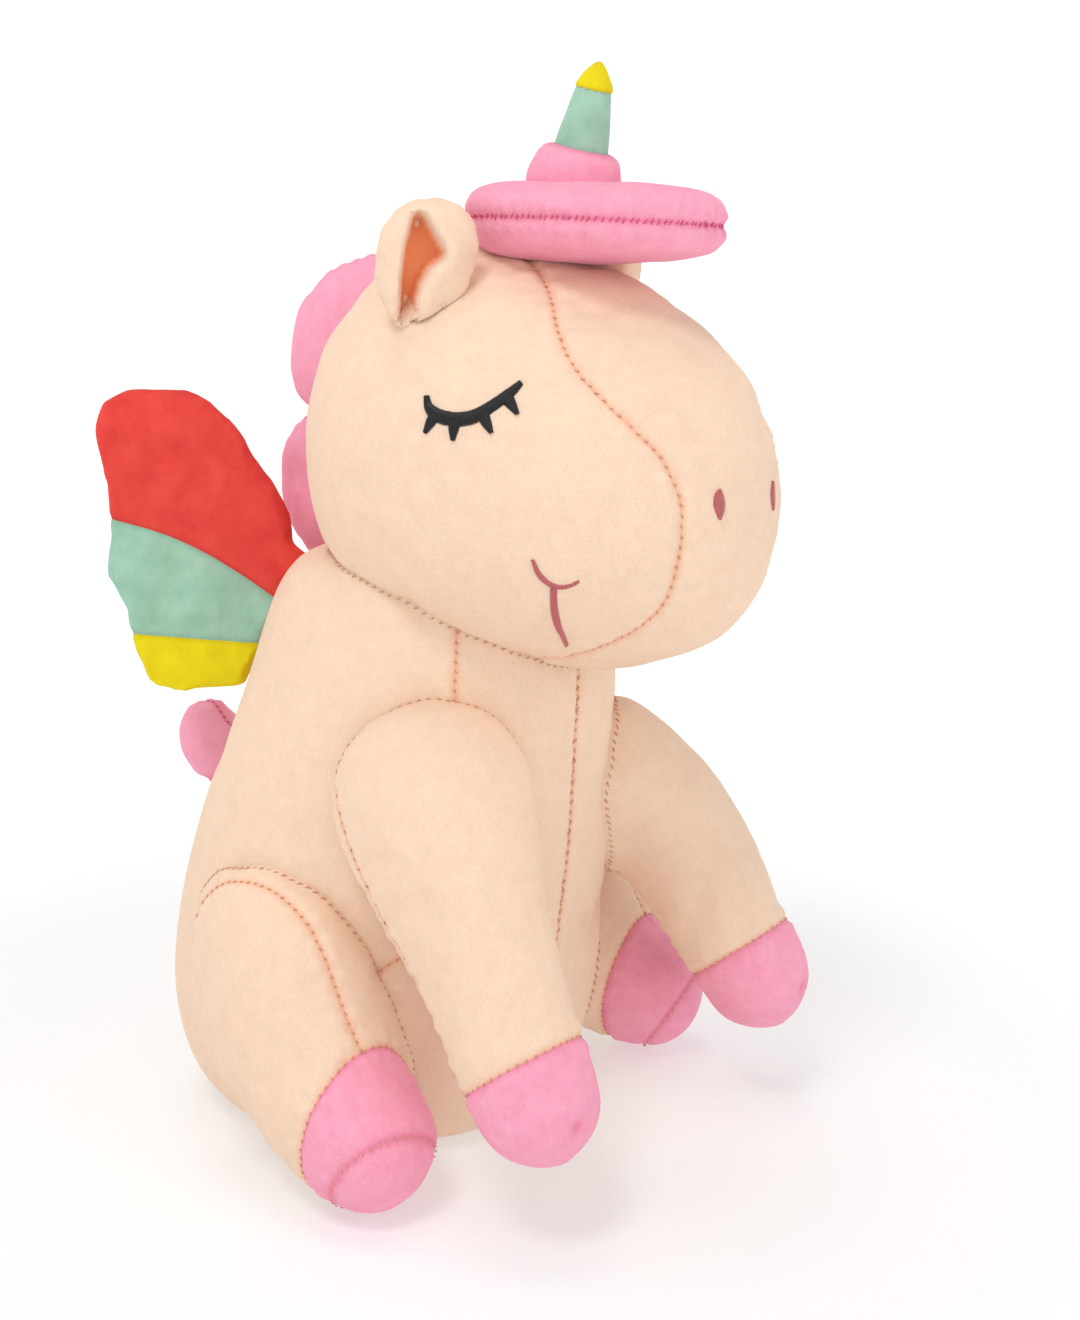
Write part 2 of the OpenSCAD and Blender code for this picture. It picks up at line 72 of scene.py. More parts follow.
def mesh_object(name, verts, faces):
    me = bpy.data.meshes.new(name)
    me.from_pydata((np.asarray(verts)*MM).tolist(), [], [tuple(int(i) for i in f) for f in faces])
    me.update()
    return link(bpy.data.objects.new(name, me))


def points(ob):
    a = np.empty(3*len(ob.data.vertices))
    ob.data.vertices.foreach_get("co", a)
    return a.reshape(-1, 3)/MM


def set_points(ob, p):
    ob.data.vertices.foreach_set("co", (p*MM).astype(np.float32).ravel())
    ob.data.update()


def normals(ob):
    a = np.empty(3*len(ob.data.vertices))
    ob.data.vertex_normals.foreach_get("vector", a)
    return a.reshape(-1, 3)


def bake(ob):
    dg = bpy.context.evaluated_depsgraph_get()
    me = bpy.data.meshes.new_from_object(ob.evaluated_get(dg), depsgraph=dg)
    old = ob.data
    ob.modifiers.clear()
    ob.data = me
    bpy.data.meshes.remove(old)
    return ob


def modify(ob, kind, **values):
    m = ob.modifiers.new(kind, kind)
    for k, v in values.items():
        setattr(m, k, v)
    return bake(ob)


def relax(ob, rounds, factor=0.5):
    return modify(ob, "SMOOTH", factor=factor, iterations=rounds)


def remesh(ob, voxel):
    return modify(ob, "REMESH", mode="VOXEL", voxel_size=voxel*MM, adaptivity=0.0)


def finer(ob):
    return modify(ob, "SUBSURF", levels=1, render_levels=1)


def keep_largest(ob):
    """Drops the closed skins that a remesh leaves inside the outer one."""
    bm = bmesh.new()
    bm.from_mesh(ob.data)
    left, best = set(bm.verts), set()
    while left:
        grown = {left.pop()}
        edge = set(grown)
        while edge:
            edge = {e.other_vert(v) for v in edge for e in v.link_edges} - grown
            grown |= edge
        left -= grown
        if len(grown) > len(best):
            best = grown
    bmesh.ops.delete(bm, geom=[v for v in bm.verts if v not in best], context="VERTS")
    bm.to_mesh(ob.data)
    bm.free()
    return ob


def cad_points(*nodes):
    return np.concatenate([points(NODES[n]) for n in nodes])


def hull_blob(name, nodes, voxel, rounds, shrink=0.0):
    """A closed round skin over CAD nodes that bulge everywhere."""
    bm = bmesh.new()
    for p in cad_points(*nodes):
        bm.verts.new(p*MM)
    bmesh.ops.convex_hull(bm, input=bm.verts)
    bmesh.ops.delete(bm, geom=[v for v in bm.verts if not v.link_faces], context="VERTS")
    me = bpy.data.meshes.new(name)
    bm.to_mesh(me)
    bm.free()
    ob = link(bpy.data.objects.new(name, me))
    remesh(ob, voxel)
    relax(ob, rounds)
    return push(ob, -shrink)


def union_blob(name, nodes, voxel, rounds, shrink=0.0):
    """A closed skin around CAD nodes that touch each other."""
    bm = bmesh.new()
    for n in nodes:
        bm.from_mesh(NODES[n].data)
    me = bpy.data.meshes.new(name)
    bm.to_mesh(me)
    bm.free()
    ob = link(bpy.data.objects.new(name, me))
    keep_largest(remesh(ob, voxel))
    relax(ob, rounds)
    return push(ob, -shrink)


def push(ob, by):
    if np.any(by):
        set_points(ob, points(ob) + normals(ob)*np.reshape(by, (-1, 1)))
    return ob


def tree(ob):
    p = points(ob)
    return BVHTree.FromPolygons([Vector(v) for v in p], [list(f.vertices) for f in ob.data.polygons])


def signed(bvh, p):
    """Signed distance from a skin, and the skin's nearest points and normals."""
    out = np.empty(len(p))
    near = np.empty((len(p), 3))
    face = np.empty((len(p), 3))
    for i, q in enumerate(p):
        hit, n, _, _ = bvh.find_nearest(Vector(q))
        v = Vector(q) - hit
        out[i] = v.length if v.dot(n) > 0 else -v.length
        near[i], face[i] = hit, n
    return out, near, face


def stand_off(ob, bvh, room):
    """Lays a skin on its neighbour, at least this far from it."""
    p = points(ob)
    d, near, face = signed(bvh, p)
    inside = d < room
    p[inside] = near[inside] + face[inside]*room
    set_points(ob, p)
    return ob


def sink(ob, bvh, inward, reach, depth):
    """Pushes the root of a limb into the body that it is sewn to."""
    p = points(ob)
    d, _, _ = signed(bvh, p)
    w = smoothstep((reach - d)/(reach*0.5))
    set_points(ob, p + w[:, None]*depth*unit(inward))
    return ob


def unit(v):
    v = np.asarray(v, float)
    return v/np.linalg.norm(v)


def smoothstep(t):
    t = np.clip(t, 0, 1)
    return t*t*(3 - 2*t)


def unit_rows(v):
    return v/np.maximum(np.linalg.norm(v, axis=1, keepdims=True), 1e-6)


def bell(d, width):
    return np.exp(-(d/width)**2)


def wander(p, size, seed=0.0):
    """Smooth noise, from about -1 to 1, with features of this size."""
    return np.array([noise.noise(Vector(q/size) + Vector((seed, 3.1*seed, -seed))) for q in p])


def copy_of(ob, name):
    new = ob.copy()
    new.data = ob.data.copy()
    new.name = name
    return link(new)


def mirrored(ob, name):
    new = copy_of(ob, name)
    p = points(new)
    p[:, 0] *= -1
    new.data.flip_normals()
    set_points(new, p)
    return new


# ---------------------------------------------------------------- cloth
def inflate(jobs):
    """Swells the skins with Cloth, held at their seams. Each job: skin, cap in mm, seam fields, growth."""
    rest = {}
    for ob, _, fields, growth in jobs:
        p = points(ob)
        rest[ob.name] = p
        near = np.min([np.abs(f(p)) for f in fields], axis=0)
        held = ob.vertex_groups.new(name="held")
        for i in np.nonzero(near < HELD_WITHIN)[0]:
            held.add([int(i)], float(1 - near[i]/HELD_WITHIN), "REPLACE")
        cloth = ob.modifiers.new("Cloth", "CLOTH")
        s = cloth.settings
        s.quality = 5
        s.mass = 0.3
        s.tension_stiffness = 15
        s.compression_stiffness = 12
        s.shear_stiffness = 5
        s.bending_stiffness = 0.6
        s.use_pressure = True
        s.uniform_pressure_force = 4
        s.shrink_min = -growth
        s.vertex_group_mass = "held"
        s.effector_weights.gravity = 0
        cloth.collision_settings.use_collision = False
    for f in range(1, CLOTH_FRAMES + 1):
        SCENE.frame_set(f)
    for ob, cap, _, _ in jobs:
        bake(ob)
        ob.vertex_groups.clear()
        move = points(ob) - rest[ob.name]
        size = np.linalg.norm(move, axis=1, keepdims=True)
        set_points(ob, rest[ob.name] + move*np.minimum(1, cap/np.maximum(size, 1e-6)))
    SCENE.frame_set(1)


# ---------------------------------------------------------------- seams
def plane(point, normal):
    n = unit(normal)
    return lambda p: (p - np.asarray(point, float)) @ n


def cut(bm, field, tolerance=0.08):
    """Adds edges along the line where a field is zero."""
    bm.verts.ensure_lookup_table()
    value = field(np.array([v.co for v in bm.verts])/MM)
    on = [v for v, f in zip(bm.verts, value) if abs(f) <= tolerance]
    crossing = []
    for e in bm.edges:
        a, b = e.verts
        fa, fb = value[a.index], value[b.index]
        if fa*fb < 0 and abs(fa) > tolerance and abs(fb) > tolerance:
            crossing.append((e, a, fa/(fa - fb)))
    for e, a, t in crossing:
        on.append(bmesh.utils.edge_split(e, a, float(t))[1])
    bmesh.ops.connect_verts(bm, verts=on)
    bm.verts.index_update()


def seam_runs(bm, labels):
    """Ordered lines of vertices between panels."""
    near = {}
    for e in bm.edges:
        if len(e.link_faces) == 2 and labels[e.link_faces[0].index] != labels[e.link_faces[1].index]:
            for v in e.verts:
                near.setdefault(v, []).append(e)
    used, runs = set(), []
    starts = sorted((v for v in near if len(near[v]) != 2), key=lambda v: v.index)
    starts += sorted((v for v in near if len(near[v]) == 2), key=lambda v: v.index)
    for start in starts:
        for first in near[start]:
            if first in used:
                continue
            run, v, e = [start], start, first
            while e is not None and e not in used:
                used.add(e)
                v = e.other_vert(v)
                run.append(v)
                e = next((x for x in near[v] if x not in used), None) if len(near[v]) == 2 else None
            if len(run) > 3:
                runs.append(run)
    return runs


def lines_of(runs):
    """Points and normals of each run."""
    return [(np.array([v.co for v in r])/MM, np.array([v.normal for v in r])) for r in runs]


def resample(p, n, pitch):
    """Points and normals spaced evenly along a line."""
    step = np.linalg.norm(np.diff(p, axis=0), axis=1)
    s = np.concatenate([[0], np.cumsum(step)])
    at = np.arange(pitch/2, s[-1], pitch)
    q = np.stack([np.interp(at, s, p[:, k]) for k in range(3)], 1)
    m = np.stack([np.interp(at, s, n[:, k]) for k in range(3)], 1)
    return q, unit_rows(m)


def sew(blob, cuts, label, names, depth=0.7, width=1.4, lip=0.2, pucker=0.22, extra=None):
    """Cuts a skin into panels along its seams, with a groove and painted shade at each seam. Returns panels
    and seam lines.
    """
    bm = bmesh.new()
    bm.from_mesh(blob.data)
    layer = bm.verts.layers.float.new("painted_shade")
    for field in cuts:
        cut(bm, field)
    bm.faces.index_update()
    centre = np.array([f.calc_center_median() for f in bm.faces])/MM
    labels = label(centre)
    runs = seam_runs(bm, labels)
    bm.normal_update()
    line = lines_of(runs)
    p = np.array([v.co for v in bm.verts])/MM
    n = np.array([v.normal for v in bm.verts])
    painted_shade = np.zeros(len(p))
    if runs:
        marks, phase = [], []
        for k, (q, _) in enumerate(line):
            dense, _ = resample(q, q, SEAM_STEP)
            marks.append(dense)
            phase.append(np.arange(len(dense))*SEAM_STEP + 37*k)
        marks, phase = np.concatenate(marks), np.concatenate(phase)
        kd = KDTree(len(marks))
        for i, q in enumerate(marks):
            kd.insert(q, i)
        kd.balance()
        found = [kd.find(q) for q in p]
        d = np.array([f[2] for f in found])
        s = phase[[f[1] for f in found]]
        ripple = np.sin(s*2*math.pi/5.3) + 0.7*np.sin(s*2*math.pi/8.9 + 1.3)
        by = -depth*bell(d, width) + lip*bell(d - 2.6, 1.5)
        by = by + pucker*ripple*bell(d - 2.2, 2.6)*smoothstep(d/1.5)
        # painted shade down in the seam's groove
        painted_shade = SHADE_STRENGTH*bell(d, 0.9)
        p = p + n*by[:, None]
    if extra is not None:
        p, more = extra(p, n)
        painted_shade = np.maximum(painted_shade, more)
    for v, q, c in zip(bm.verts, p, painted_shade):
        v.co = q*MM
        v[layer] = float(c)
    bm.normal_update()
    seams = lines_of(runs)
    panels = {}
    for k, name in enumerate(names):
        part = bm.copy()
        part.faces.ensure_lookup_table()
        drop = [f for f in part.faces if labels[f.index] != k]
        bmesh.ops.delete(part, geom=drop, context="FACES")
        me = bpy.data.meshes.new(name)
        part.to_mesh(me)
        part.free()
        ob = link(bpy.data.objects.new(name, me))
        modify(ob, "SOLIDIFY", thickness=PANEL_T*MM, offset=-1.0)
        panels[name] = ob
    bm.free()
    bpy.data.objects.remove(blob)
    return panels, seams


def seam_line(skin_ob, field):
    """The line where a field crosses a skin, for stitches that don't part two panels."""
    bm = bmesh.new()
    bm.from_mesh(skin_ob.data)
    cut(bm, field)
    bm.faces.index_update()
    centre = np.array([f.calc_center_median() for f in bm.faces])/MM
    runs = seam_runs(bm, (field(centre) < 0).astype(int))
    bm.normal_update()
    lines = lines_of(runs)
    bm.free()
    return lines


# ---------------------------------------------------------------- threads
def thread_mesh(name, c, along, up, length, radius, arch, sink_by, sides=6, rows=7):
    """Short arched threads: centre, direction, surface normal, length and radius of each."""
    c, along, up = (np.asarray(x, float) for x in (c, along, up))
    along = along/np.linalg.norm(along, axis=1, keepdims=True)
    up = up - along*np.sum(up*along, axis=1, keepdims=True)
    up = up/np.linalg.norm(up, axis=1, keepdims=True)
    side = np.cross(along, up)
    length, radius = np.broadcast_to(length, len(c)), np.broadcast_to(radius, len(c))
    t = np.linspace(-1, 1, rows)
    a = np.arange(sides)*2*math.pi/sides
    taper = np.sqrt(np.clip(1.04 - t**4, 0.02, 1))
    verts = []
    for i, row in enumerate(t):
        high = arch*(1 - row*row) - sink_by*row**4
        mid = c + along*(row*length/2)[:, None] + up*high
        r = radius*taper[i]
        ring = [mid + side*(r*math.cos(x))[:, None] + up*(r*math.sin(x))[:, None] for x in a]
        verts.append(np.stack(ring, 1))
    verts = np.stack(verts, 1)
    count = len(c)
    grid = np.arange(rows*sides).reshape(rows, sides)
    base = []
    for i in range(rows - 1):
        for j in range(sides):
            k = (j + 1) % sides
            base.append((grid[i, j], grid[i + 1, j], grid[i + 1, k], grid[i, k]))
    caps = [tuple(grid[0]), tuple(grid[-1][::-1])]
    faces = []
    for m in range(count):
        o = m*rows*sides
        faces += [tuple(x + o for x in f) for f in base] + [tuple(x + o for x in f) for f in caps]
    return mesh_object(name, verts.reshape(-1, 3), faces)


def running_stitch(name, runs, pitch=PITCH, length=1.3, radius=0.2, slant=38, arch=0.15, lift=0.12):
    """Hand-sewn stitches that cross the seams at a slant."""
    c, along, up = [], [], []
    for p, n in runs:
        q, m = resample(p, n, pitch)
        if len(q) < 3:
            continue
        t = unit_rows(np.gradient(q, axis=0))
        b = np.cross(m, t)
        a = np.radians(slant + RNG.normal(0, 5, len(q)))[:, None]
        c.append(q + m*lift + RNG.normal(0, 0.06, q.shape))
        along.append(t*np.cos(a) + b*np.sin(a))
        up.append(m)
    return thread_mesh(name, np.concatenate(c), np.concatenate(along), np.concatenate(up),
                       length, radius, arch, 0.35)


def on_skin(bvh, yz, side=-1.0):
    """Points on the side of the head at these y and z, with the normals there."""
    p, n = [], []
    for y, z in yz:
        hit, m, _, _ = bvh.ray_cast(Vector((side*120, y, z)), Vector((-side, 0, 0)))
        p.append(hit)
        n.append(m)
    return np.array(p), np.array(n)


def curve_through(q, count):
    """A smooth line through a few points."""
    q = np.asarray(q, float)
    t = np.linspace(0, len(q) - 1, count)
    out = []
    ext = np.vstack([2*q[0] - q[1], q, 2*q[-1] - q[-2]])
    for x in t:
        i = min(int(x), len(q) - 2)
        f = x - i
        a, b, c, d = ext[i:i + 4]
        out.append(0.5*((2*b) + (c - a)*f + (2*a - 5*b + 4*c - d)*f*f + (3*b - a - 3*c + d)*f**3))
    return np.array(out)


def satin(name, bands, pitch=0.42, radius=0.27, arch=0.45):
    """Satin stitch: threads side by side across each band. Each band: points, normals, half widths."""
    c, along, up, size = [], [], [], []
    for p, n, w in bands:
        q, m = resample(p, n, pitch)
        share = np.linspace(0, 1, len(q))
        half = np.interp(share, np.linspace(0, 1, len(w)), w)
        t = unit_rows(np.gradient(q, axis=0))
        b = np.cross(m, t)
        c.append(q + m*0.1)
        along.append(b + t*0.18)
        up.append(m)
        size.append(2*half + 0.25 + RNG.normal(0, 0.05, len(q)))
    return thread_mesh(name, np.concatenate(c), np.concatenate(along), np.concatenate(up),
                       np.concatenate(size), radius, arch, 0.5)


# ---------------------------------------------------------------- materials
def srgb(*c):
    return [((x/255 + 0.055)/1.055)**2.4 if x > 10 else x/255/12.92 for x in c] + [1.0]


def new_material(name):
    m = bpy.data.materials.new(name)
    m.use_nodes = True
    nt = m.node_tree
    shader = nt.nodes["Principled BSDF"]
    coord = nt.nodes.new("ShaderNodeTexCoord")
    return m, nt, shader, coord.outputs["Object"]


def noise_node(nt, vector, scale, detail=2.0, rough=0.5):
    n = nt.nodes.new("ShaderNodeTexNoise")
    n.inputs["Scale"].default_value = scale
    n.inputs["Detail"].default_value = detail
    n.inputs["Roughness"].default_value = rough
    nt.links.new(vector, n.inputs["Vector"])
    return n.outputs["Fac"]


def ramp(nt, fac, low, high, colours):
    r = nt.nodes.new("ShaderNodeValToRGB")
    r.color_ramp.elements[0].position = low
    r.color_ramp.elements[1].position = high
    r.color_ramp.elements[0].color = colours[0]
    r.color_ramp.elements[1].color = colours[1]
    nt.links.new(fac, r.inputs["Fac"])
    return r.outputs["Color"]


def mix(nt, fac, a, b):
    x = nt.nodes.new("ShaderNodeMix")
    x.data_type = "RGBA"
    nt.links.new(fac, x.inputs["Factor"])
    for socket, value in ((x.inputs["A"], a), (x.inputs["B"], b)):
        if isinstance(value, bpy.types.NodeSocket):
            nt.links.new(value, socket)
        else:
            socket.default_value = value
    return x.outputs["Result"]


def bumps(nt, shader, layers):
    """Layers of bump: height, strength and distance in mm."""
    last = None
    for height, strength, distance in layers:
        b = nt.nodes.new("ShaderNodeBump")
        b.inputs["Strength"].default_value = strength
        b.inputs["Distance"].default_value = distance*MM
        nt.links.new(height, b.inputs["Height"])
        if last is not None:
            nt.links.new(last, b.inputs["Normal"])
        last = b.outputs["Normal"]
    nt.links.new(last, shader.inputs["Normal"])


def painted_fold_shade(nt, colour, shade_colour):
    """Painted shade: turns to a deeper colour down in the folds and seams."""
    fold = nt.nodes.new("ShaderNodeAttribute")
    fold.attribute_name = "painted_shade"
    return mix(nt, fold.outputs["Fac"], colour, shade_colour)


def set_sockets(shader, values):
    for name, value in values.items():
        shader.inputs[name].default_value = value


def velour(name, light, dark, shade_colour, sheen=0.2):
    """Short dense pile: brushed patches, single fibres, and painted shade, a deeper colour, down in the
    folds.
    """
    m, nt, shader, at = new_material(name)
    brushed = ramp(nt, noise_node(nt, at, 210, 4.0, 0.65), 0.3, 0.7, (dark, light))
    fibres = noise_node(nt, at, 2300, 2.0, 0.6)
    speck = ramp(nt, fibres, 0.25, 0.6, ([c*0.8 for c in light[:3]] + [1], light))
    colour = mix(nt, noise_node(nt, at, 900, 1.0), brushed, speck)
    nt.links.new(painted_fold_shade(nt, colour, shade_colour), shader.inputs["Base Color"])
    set_sockets(shader, {
        "Roughness": 0.88, "Specular IOR Level": 0.25,
        "Sheen Weight": sheen, "Sheen Roughness": 0.45, "Sheen Tint": light,
        "Subsurface Weight": 0.1, "Subsurface Radius": (1.0, 0.42, 0.28), "Subsurface Scale": 4*MM,
    })
    bumps(nt, shader, [(noise_node(nt, at, 520, 4.0, 0.6), 0.3, 0.35), (fibres, 0.55, 0.3)])
    return m


def knit(name, light, dark, shade_colour):
    """Smooth knitted velour of the wings and the horn, with a finer pile."""
    m, nt, shader, at = new_material(name)
    weave = nt.nodes.new("ShaderNodeTexVoronoi")
    weave.inputs["Scale"].default_value = 1500
    nt.links.new(at, weave.inputs["Vector"])
    soft = noise_node(nt, at, 120, 3.0, 0.6)
    colour = ramp(nt, soft, 0.3, 0.72, (dark, light))
    # painted shade: a deeper colour down in the seams and band edges
    nt.links.new(painted_fold_shade(nt, colour, shade_colour), shader.inputs["Base Color"])
    set_sockets(shader, {
        "Roughness": 0.8, "Specular IOR Level": 0.25,
        "Sheen Weight": 0.25, "Sheen Roughness": 0.4, "Sheen Tint": light,
        "Subsurface Weight": 0.06, "Subsurface Radius": (1.0, 0.5, 0.4), "Subsurface Scale": 3*MM,
    })
    bumps(nt, shader, [(soft, 0.3, 0.8), (weave.outputs["Distance"], 0.35, 0.25)])
    return m


def yarn(name, light, dark, rough=0.45, sheen=0.2):
    """Twisted embroidery thread."""
    m, nt, shader, at = new_material(name)
    twist = nt.nodes.new("ShaderNodeTexWave")
    twist.inputs["Scale"].default_value = 900
    twist.inputs["Distortion"].default_value = 1.5
    nt.links.new(at, twist.inputs["Vector"])
    nt.links.new(ramp(nt, twist.outputs["Fac"], 0.2, 0.8, (dark, light)), shader.inputs["Base Color"])
    shader.inputs["Roughness"].default_value = rough
    shader.inputs["Sheen Weight"].default_value = sheen
    bumps(nt, shader, [(twist.outputs["Fac"], 0.4, 0.08)])
    return m


def fibre(name):
    """Loose polyester filling."""
    m, nt, shader, at = new_material(name)
    tangle = noise_node(nt, at, 420, 6.0, 0.7)
    colour = ramp(nt, tangle, 0.3, 0.7, (srgb(214, 210, 202), srgb(246, 244, 240)))
    nt.links.new(colour, shader.inputs["Base Color"])
    shader.inputs["Roughness"].default_value = 0.95
    bumps(nt, shader, [(tangle, 0.8, 1.2)])
    return m


# The third colour of each velour and knit is its painted shade colour for folds and seams.
LOOKS = {
    "cream_velour": velour("cream_velour", srgb(243, 213, 188), srgb(232, 199, 173), srgb(244, 146, 92)),
    "pink_velour": velour("pink_velour", srgb(248, 168, 192), srgb(238, 142, 170), srgb(222, 74, 116), 0.5),
    "coral_fabric": knit("coral_fabric", srgb(228, 76, 66), srgb(212, 58, 52), srgb(176, 36, 36)),
    "mint_fabric": knit("mint_fabric", srgb(160, 200, 178), srgb(142, 184, 162), srgb(96, 150, 130)),
    "yellow_fabric": knit("yellow_fabric", srgb(230, 212, 12), srgb(216, 196, 6), srgb(180, 156, 0)),
    "black_thread": yarn("black_thread", srgb(20, 19, 19), srgb(6, 6, 6), 0.5, 0.0),
    "rose_thread": yarn("rose_thread", srgb(206, 112, 114), srgb(160, 66, 72)),
    "filling": fibre("filling"),
}
SEAM_THREADS = {
    "cream_velour": yarn("cream_seam_thread", srgb(222, 168, 138), srgb(190, 134, 104), 0.6),
    "pink_velour": yarn("pink_seam_thread", srgb(232, 92, 136), srgb(196, 50, 96), 0.6),
}


def dress(ob, body, slot, *nodes, fill=None, thread=False):
    """Gives a piece its material and its body, and hides the CAD nodes that it stands for."""
    ob.data.materials.clear()
    ob.data.materials.append(SEAM_THREADS[slot] if thread else LOOKS[slot])
    ob.data.shade_smooth()
    ob.data.set_sharp_from_angle(angle=math.radians(50))
    if nodes:
        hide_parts(*nodes)
    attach(ob, body)
    return ob


def stuffing(blob, name, body, node, inset=3.4, lumps=0.7):
    """The filling inside a cover, a little lumpy."""
    ob = copy_of(blob, name)
    p = points(ob)
    set_points(ob, p + normals(ob)*(wander(p, 9, 4.2)*lumps - inset)[:, None])
    relax(ob, 6)
    return dress(ob, body, "filling", node, fill=0.8)


# ---------------------------------------------------------------- places taken from the CAD
def mid_of(node):
    low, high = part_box(node)
    return (np.array(low) + np.array(high))/2/MM


SIDES = (("right", 1.0), ("left", -1.0))
SHOULDER_OUT = unit((-0.7, -0.7, 0))
HIP_OUT = unit((-0.93, -0.37, 0))
ARM_CUFF = plane((-54.5, -88.5, 48), (-0.05, -0.6, -0.8))
ARM_SEAM = plane((-51.7, -56.4, 71), (-0.12, 0.84, -0.53))
LEG_CUFF = plane((-68, -40.5, 21), (-0.12, -0.95, -0.2))
LEG_SEAM = plane((-68.5, -20, 28), (1, 0.02, 0))
LEG_SOLE = plane((-79.7, -59.9, 28), (-0.29, -0.78, -0.55))
HOOF_PUCKER = np.array((-58, -109, 38))


def torso_side(p):
    """The side seams run forward to the shoulders above the arms."""
    return p[:, 1] + 20 + 32*smoothstep((p[:, 2] - 40)/40)


def torso_middle(p):
    return p[:, 0]


SEAT_R, SEAT_Y, SEAT_BELOW = 41, 4, 8


def seat_edge(p):
    """Distance from the round edge of the seat panel, which is only near the floor."""
    return np.where(p[:, 2] < SEAT_BELOW, np.hypot(p[:, 0], p[:, 1] - SEAT_Y) - SEAT_R, 30.0)


# Half width of the head's centre panel over y, above the muzzle and under the chin
GUSSET_TOP = curve_through([(-122, 23), (-116, 23.5), (-111, 27), (-106, 30.5), (-99, 33.5), (-90, 34.5),
                            (-82, 31), (-72, 22), (-60, 15), (-45, 12), (20, 12)], 90)
GUSSET_CHIN = curve_through([(-122, 23), (-112, 23.5), (-100, 24), (-80, 22), (-40, 16), (20, 12)], 90)


def gusset(p):
    """Half plan width of the head's centre panel, minus the distance from the middle."""
    top = np.interp(p[:, 1], GUSSET_TOP[:, 0], GUSSET_TOP[:, 1])
    chin = np.interp(p[:, 1], GUSSET_CHIN[:, 0], GUSSET_CHIN[:, 1])
    high = smoothstep((p[:, 2] - 178)/22)
    return chin + (top - chin)*high - np.abs(p[:, 0])


# ---------------------------------------------------------------- skins
torso_cover = ["torso_front_right", "torso_front_left", "torso_back_right", "torso_back_left", "torso_seat"]
head_cover = ["head_side_right", "head_side_left", "head_gusset"]
torso = hull_blob("torso_skin", torso_cover, voxel=3.2, rounds=14, shrink=0.6)
head = hull_blob("head_skin", head_cover, voxel=3.2, rounds=12, shrink=0.8)
LIMB_COVERS = ["outer", "inner", "hoof"]
arm, leg = (
    union_blob(kind + "_skin", [f"{kind}_right_{c}" for c in LIMB_COVERS + ["fill"]], LIMB_VOXEL, 12, 0.5)
    for kind in ("arm", "leg")
)
lock = hull_blob("forelock_skin", ["forelock_top", "forelock_bottom"], 1.8, 5, -0.8)
mane_top = union_blob("mane_upper_skin", ["mane_upper_cover", "mane_upper_fill"], 2.0, 8, 0.4)
mane_low = union_blob("mane_lower_skin", ["mane_lower_cover", "mane_lower_fill"], 2.0, 8, 0.4)
tail = union_blob("tail_skin", ["tail_cover", "tail_fill"], 1.8, 8, 0.3)
WING_BANDS = ["upper_band", "middle_band", "lower_band"]
wing = union_blob("wing_skin", ["wing_right_" + b for b in WING_BANDS + ["padding"]], 1.7, 8)

WING_ROOT = np.array([-22.0, 28.0])
WING_DIR = np.array([math.cos(math.radians(128)), math.sin(math.radians(128))])
WING_OUT = np.array([WING_DIR[1], -WING_DIR[0], 0.0])


def wing_reach(p):
    return (p[:, :2] - WING_ROOT) @ WING_DIR


def wing_join(height, slope, bow=0.0):
    """A seam between two bands of the wing, as height over the distance out from the root."""
    return lambda p: p[:, 2] - height - slope*wing_reach(p) - bow*np.sin(wing_reach(p)/16)


WING_LOW = wing_join(140, 0.08)
WING_HIGH = wing_join(154, 0.48, 4.0)
LOCK_SEAM = plane((0, -72, 259.8), (0, -0.045, 1))

inflate([
    (torso, 2.2, [torso_side, torso_middle], 0.02),
    (head, 2.2, [gusset], 0.025),
    (arm, 1.8, [ARM_CUFF, ARM_SEAM], 0.02),
    (leg, 1.8, [LEG_CUFF, LEG_SEAM], 0.02),
    (lock, 1.2, [LOCK_SEAM], 0.02),
    (mane_top, 1.2, [torso_middle], 0.02),
    (mane_low, 1.2, [torso_middle], 0.02),
    (tail, 1.0, [torso_middle], 0.02),
    (wing, 1.2, [WING_LOW, WING_HIGH], 0.03),
])

LOCK_HALF_T = 9.5


def plump_lock(ob):
    """Fills out the edge of the forelock and lets its underside down on the head."""
    p = points(ob)
    high = LOCK_SEAM(p)
    full = np.sign(high)*LOCK_HALF_T*np.minimum(np.abs(high)/LOCK_HALF_T, 1)**0.7
    p[:, 2] += full - high - 3.5*smoothstep(-high/6)*smoothstep((p[:, 1] + 100)/60)
    set_points(ob, p)


def fill_wing(ob):
    """Brings the wing's inner edge close to the back of the head."""
    p = points(ob)
    w = smoothstep((14 - wing_reach(p))/14)*bell(p[:, 2] - 177, 15)
    p[:, :2] -= 6*w[:, None]*WING_DIR
    set_points(ob, p)


def raise_torso_top(ob):
    """Carries the top of the torso up to the head."""
    p = points(ob)
    p[:, 2] += 11*smoothstep((p[:, 2] - 128)/30)
    set_points(ob, p)


def raise_hip(ob):
    """Lifts the top of the thigh where it is sewn to the body."""
    p = points(ob)
    p[:, 2] += 11*smoothstep((p[:, 2] - 36)/32)*smoothstep((p[:, 1] + 62)/36)
    set_points(ob, p)


raise_hip(leg)
raise_torso_top(torso)
plump_lock(lock)
fill_wing(wing)
torso_bvh = tree(torso)
sink(arm, torso_bvh, -SHOULDER_OUT, reach=6.0, depth=8.0)
sink(leg, torso_bvh, -HIP_OUT, reach=6.0, depth=8.0)


def rest_on_floor(ob):
    """Flattens a skin where it sits on the floor."""
    p = points(ob)
    p[:, 2] = np.maximum(p[:, 2], FLOOR_GAP)
    set_points(ob, p)


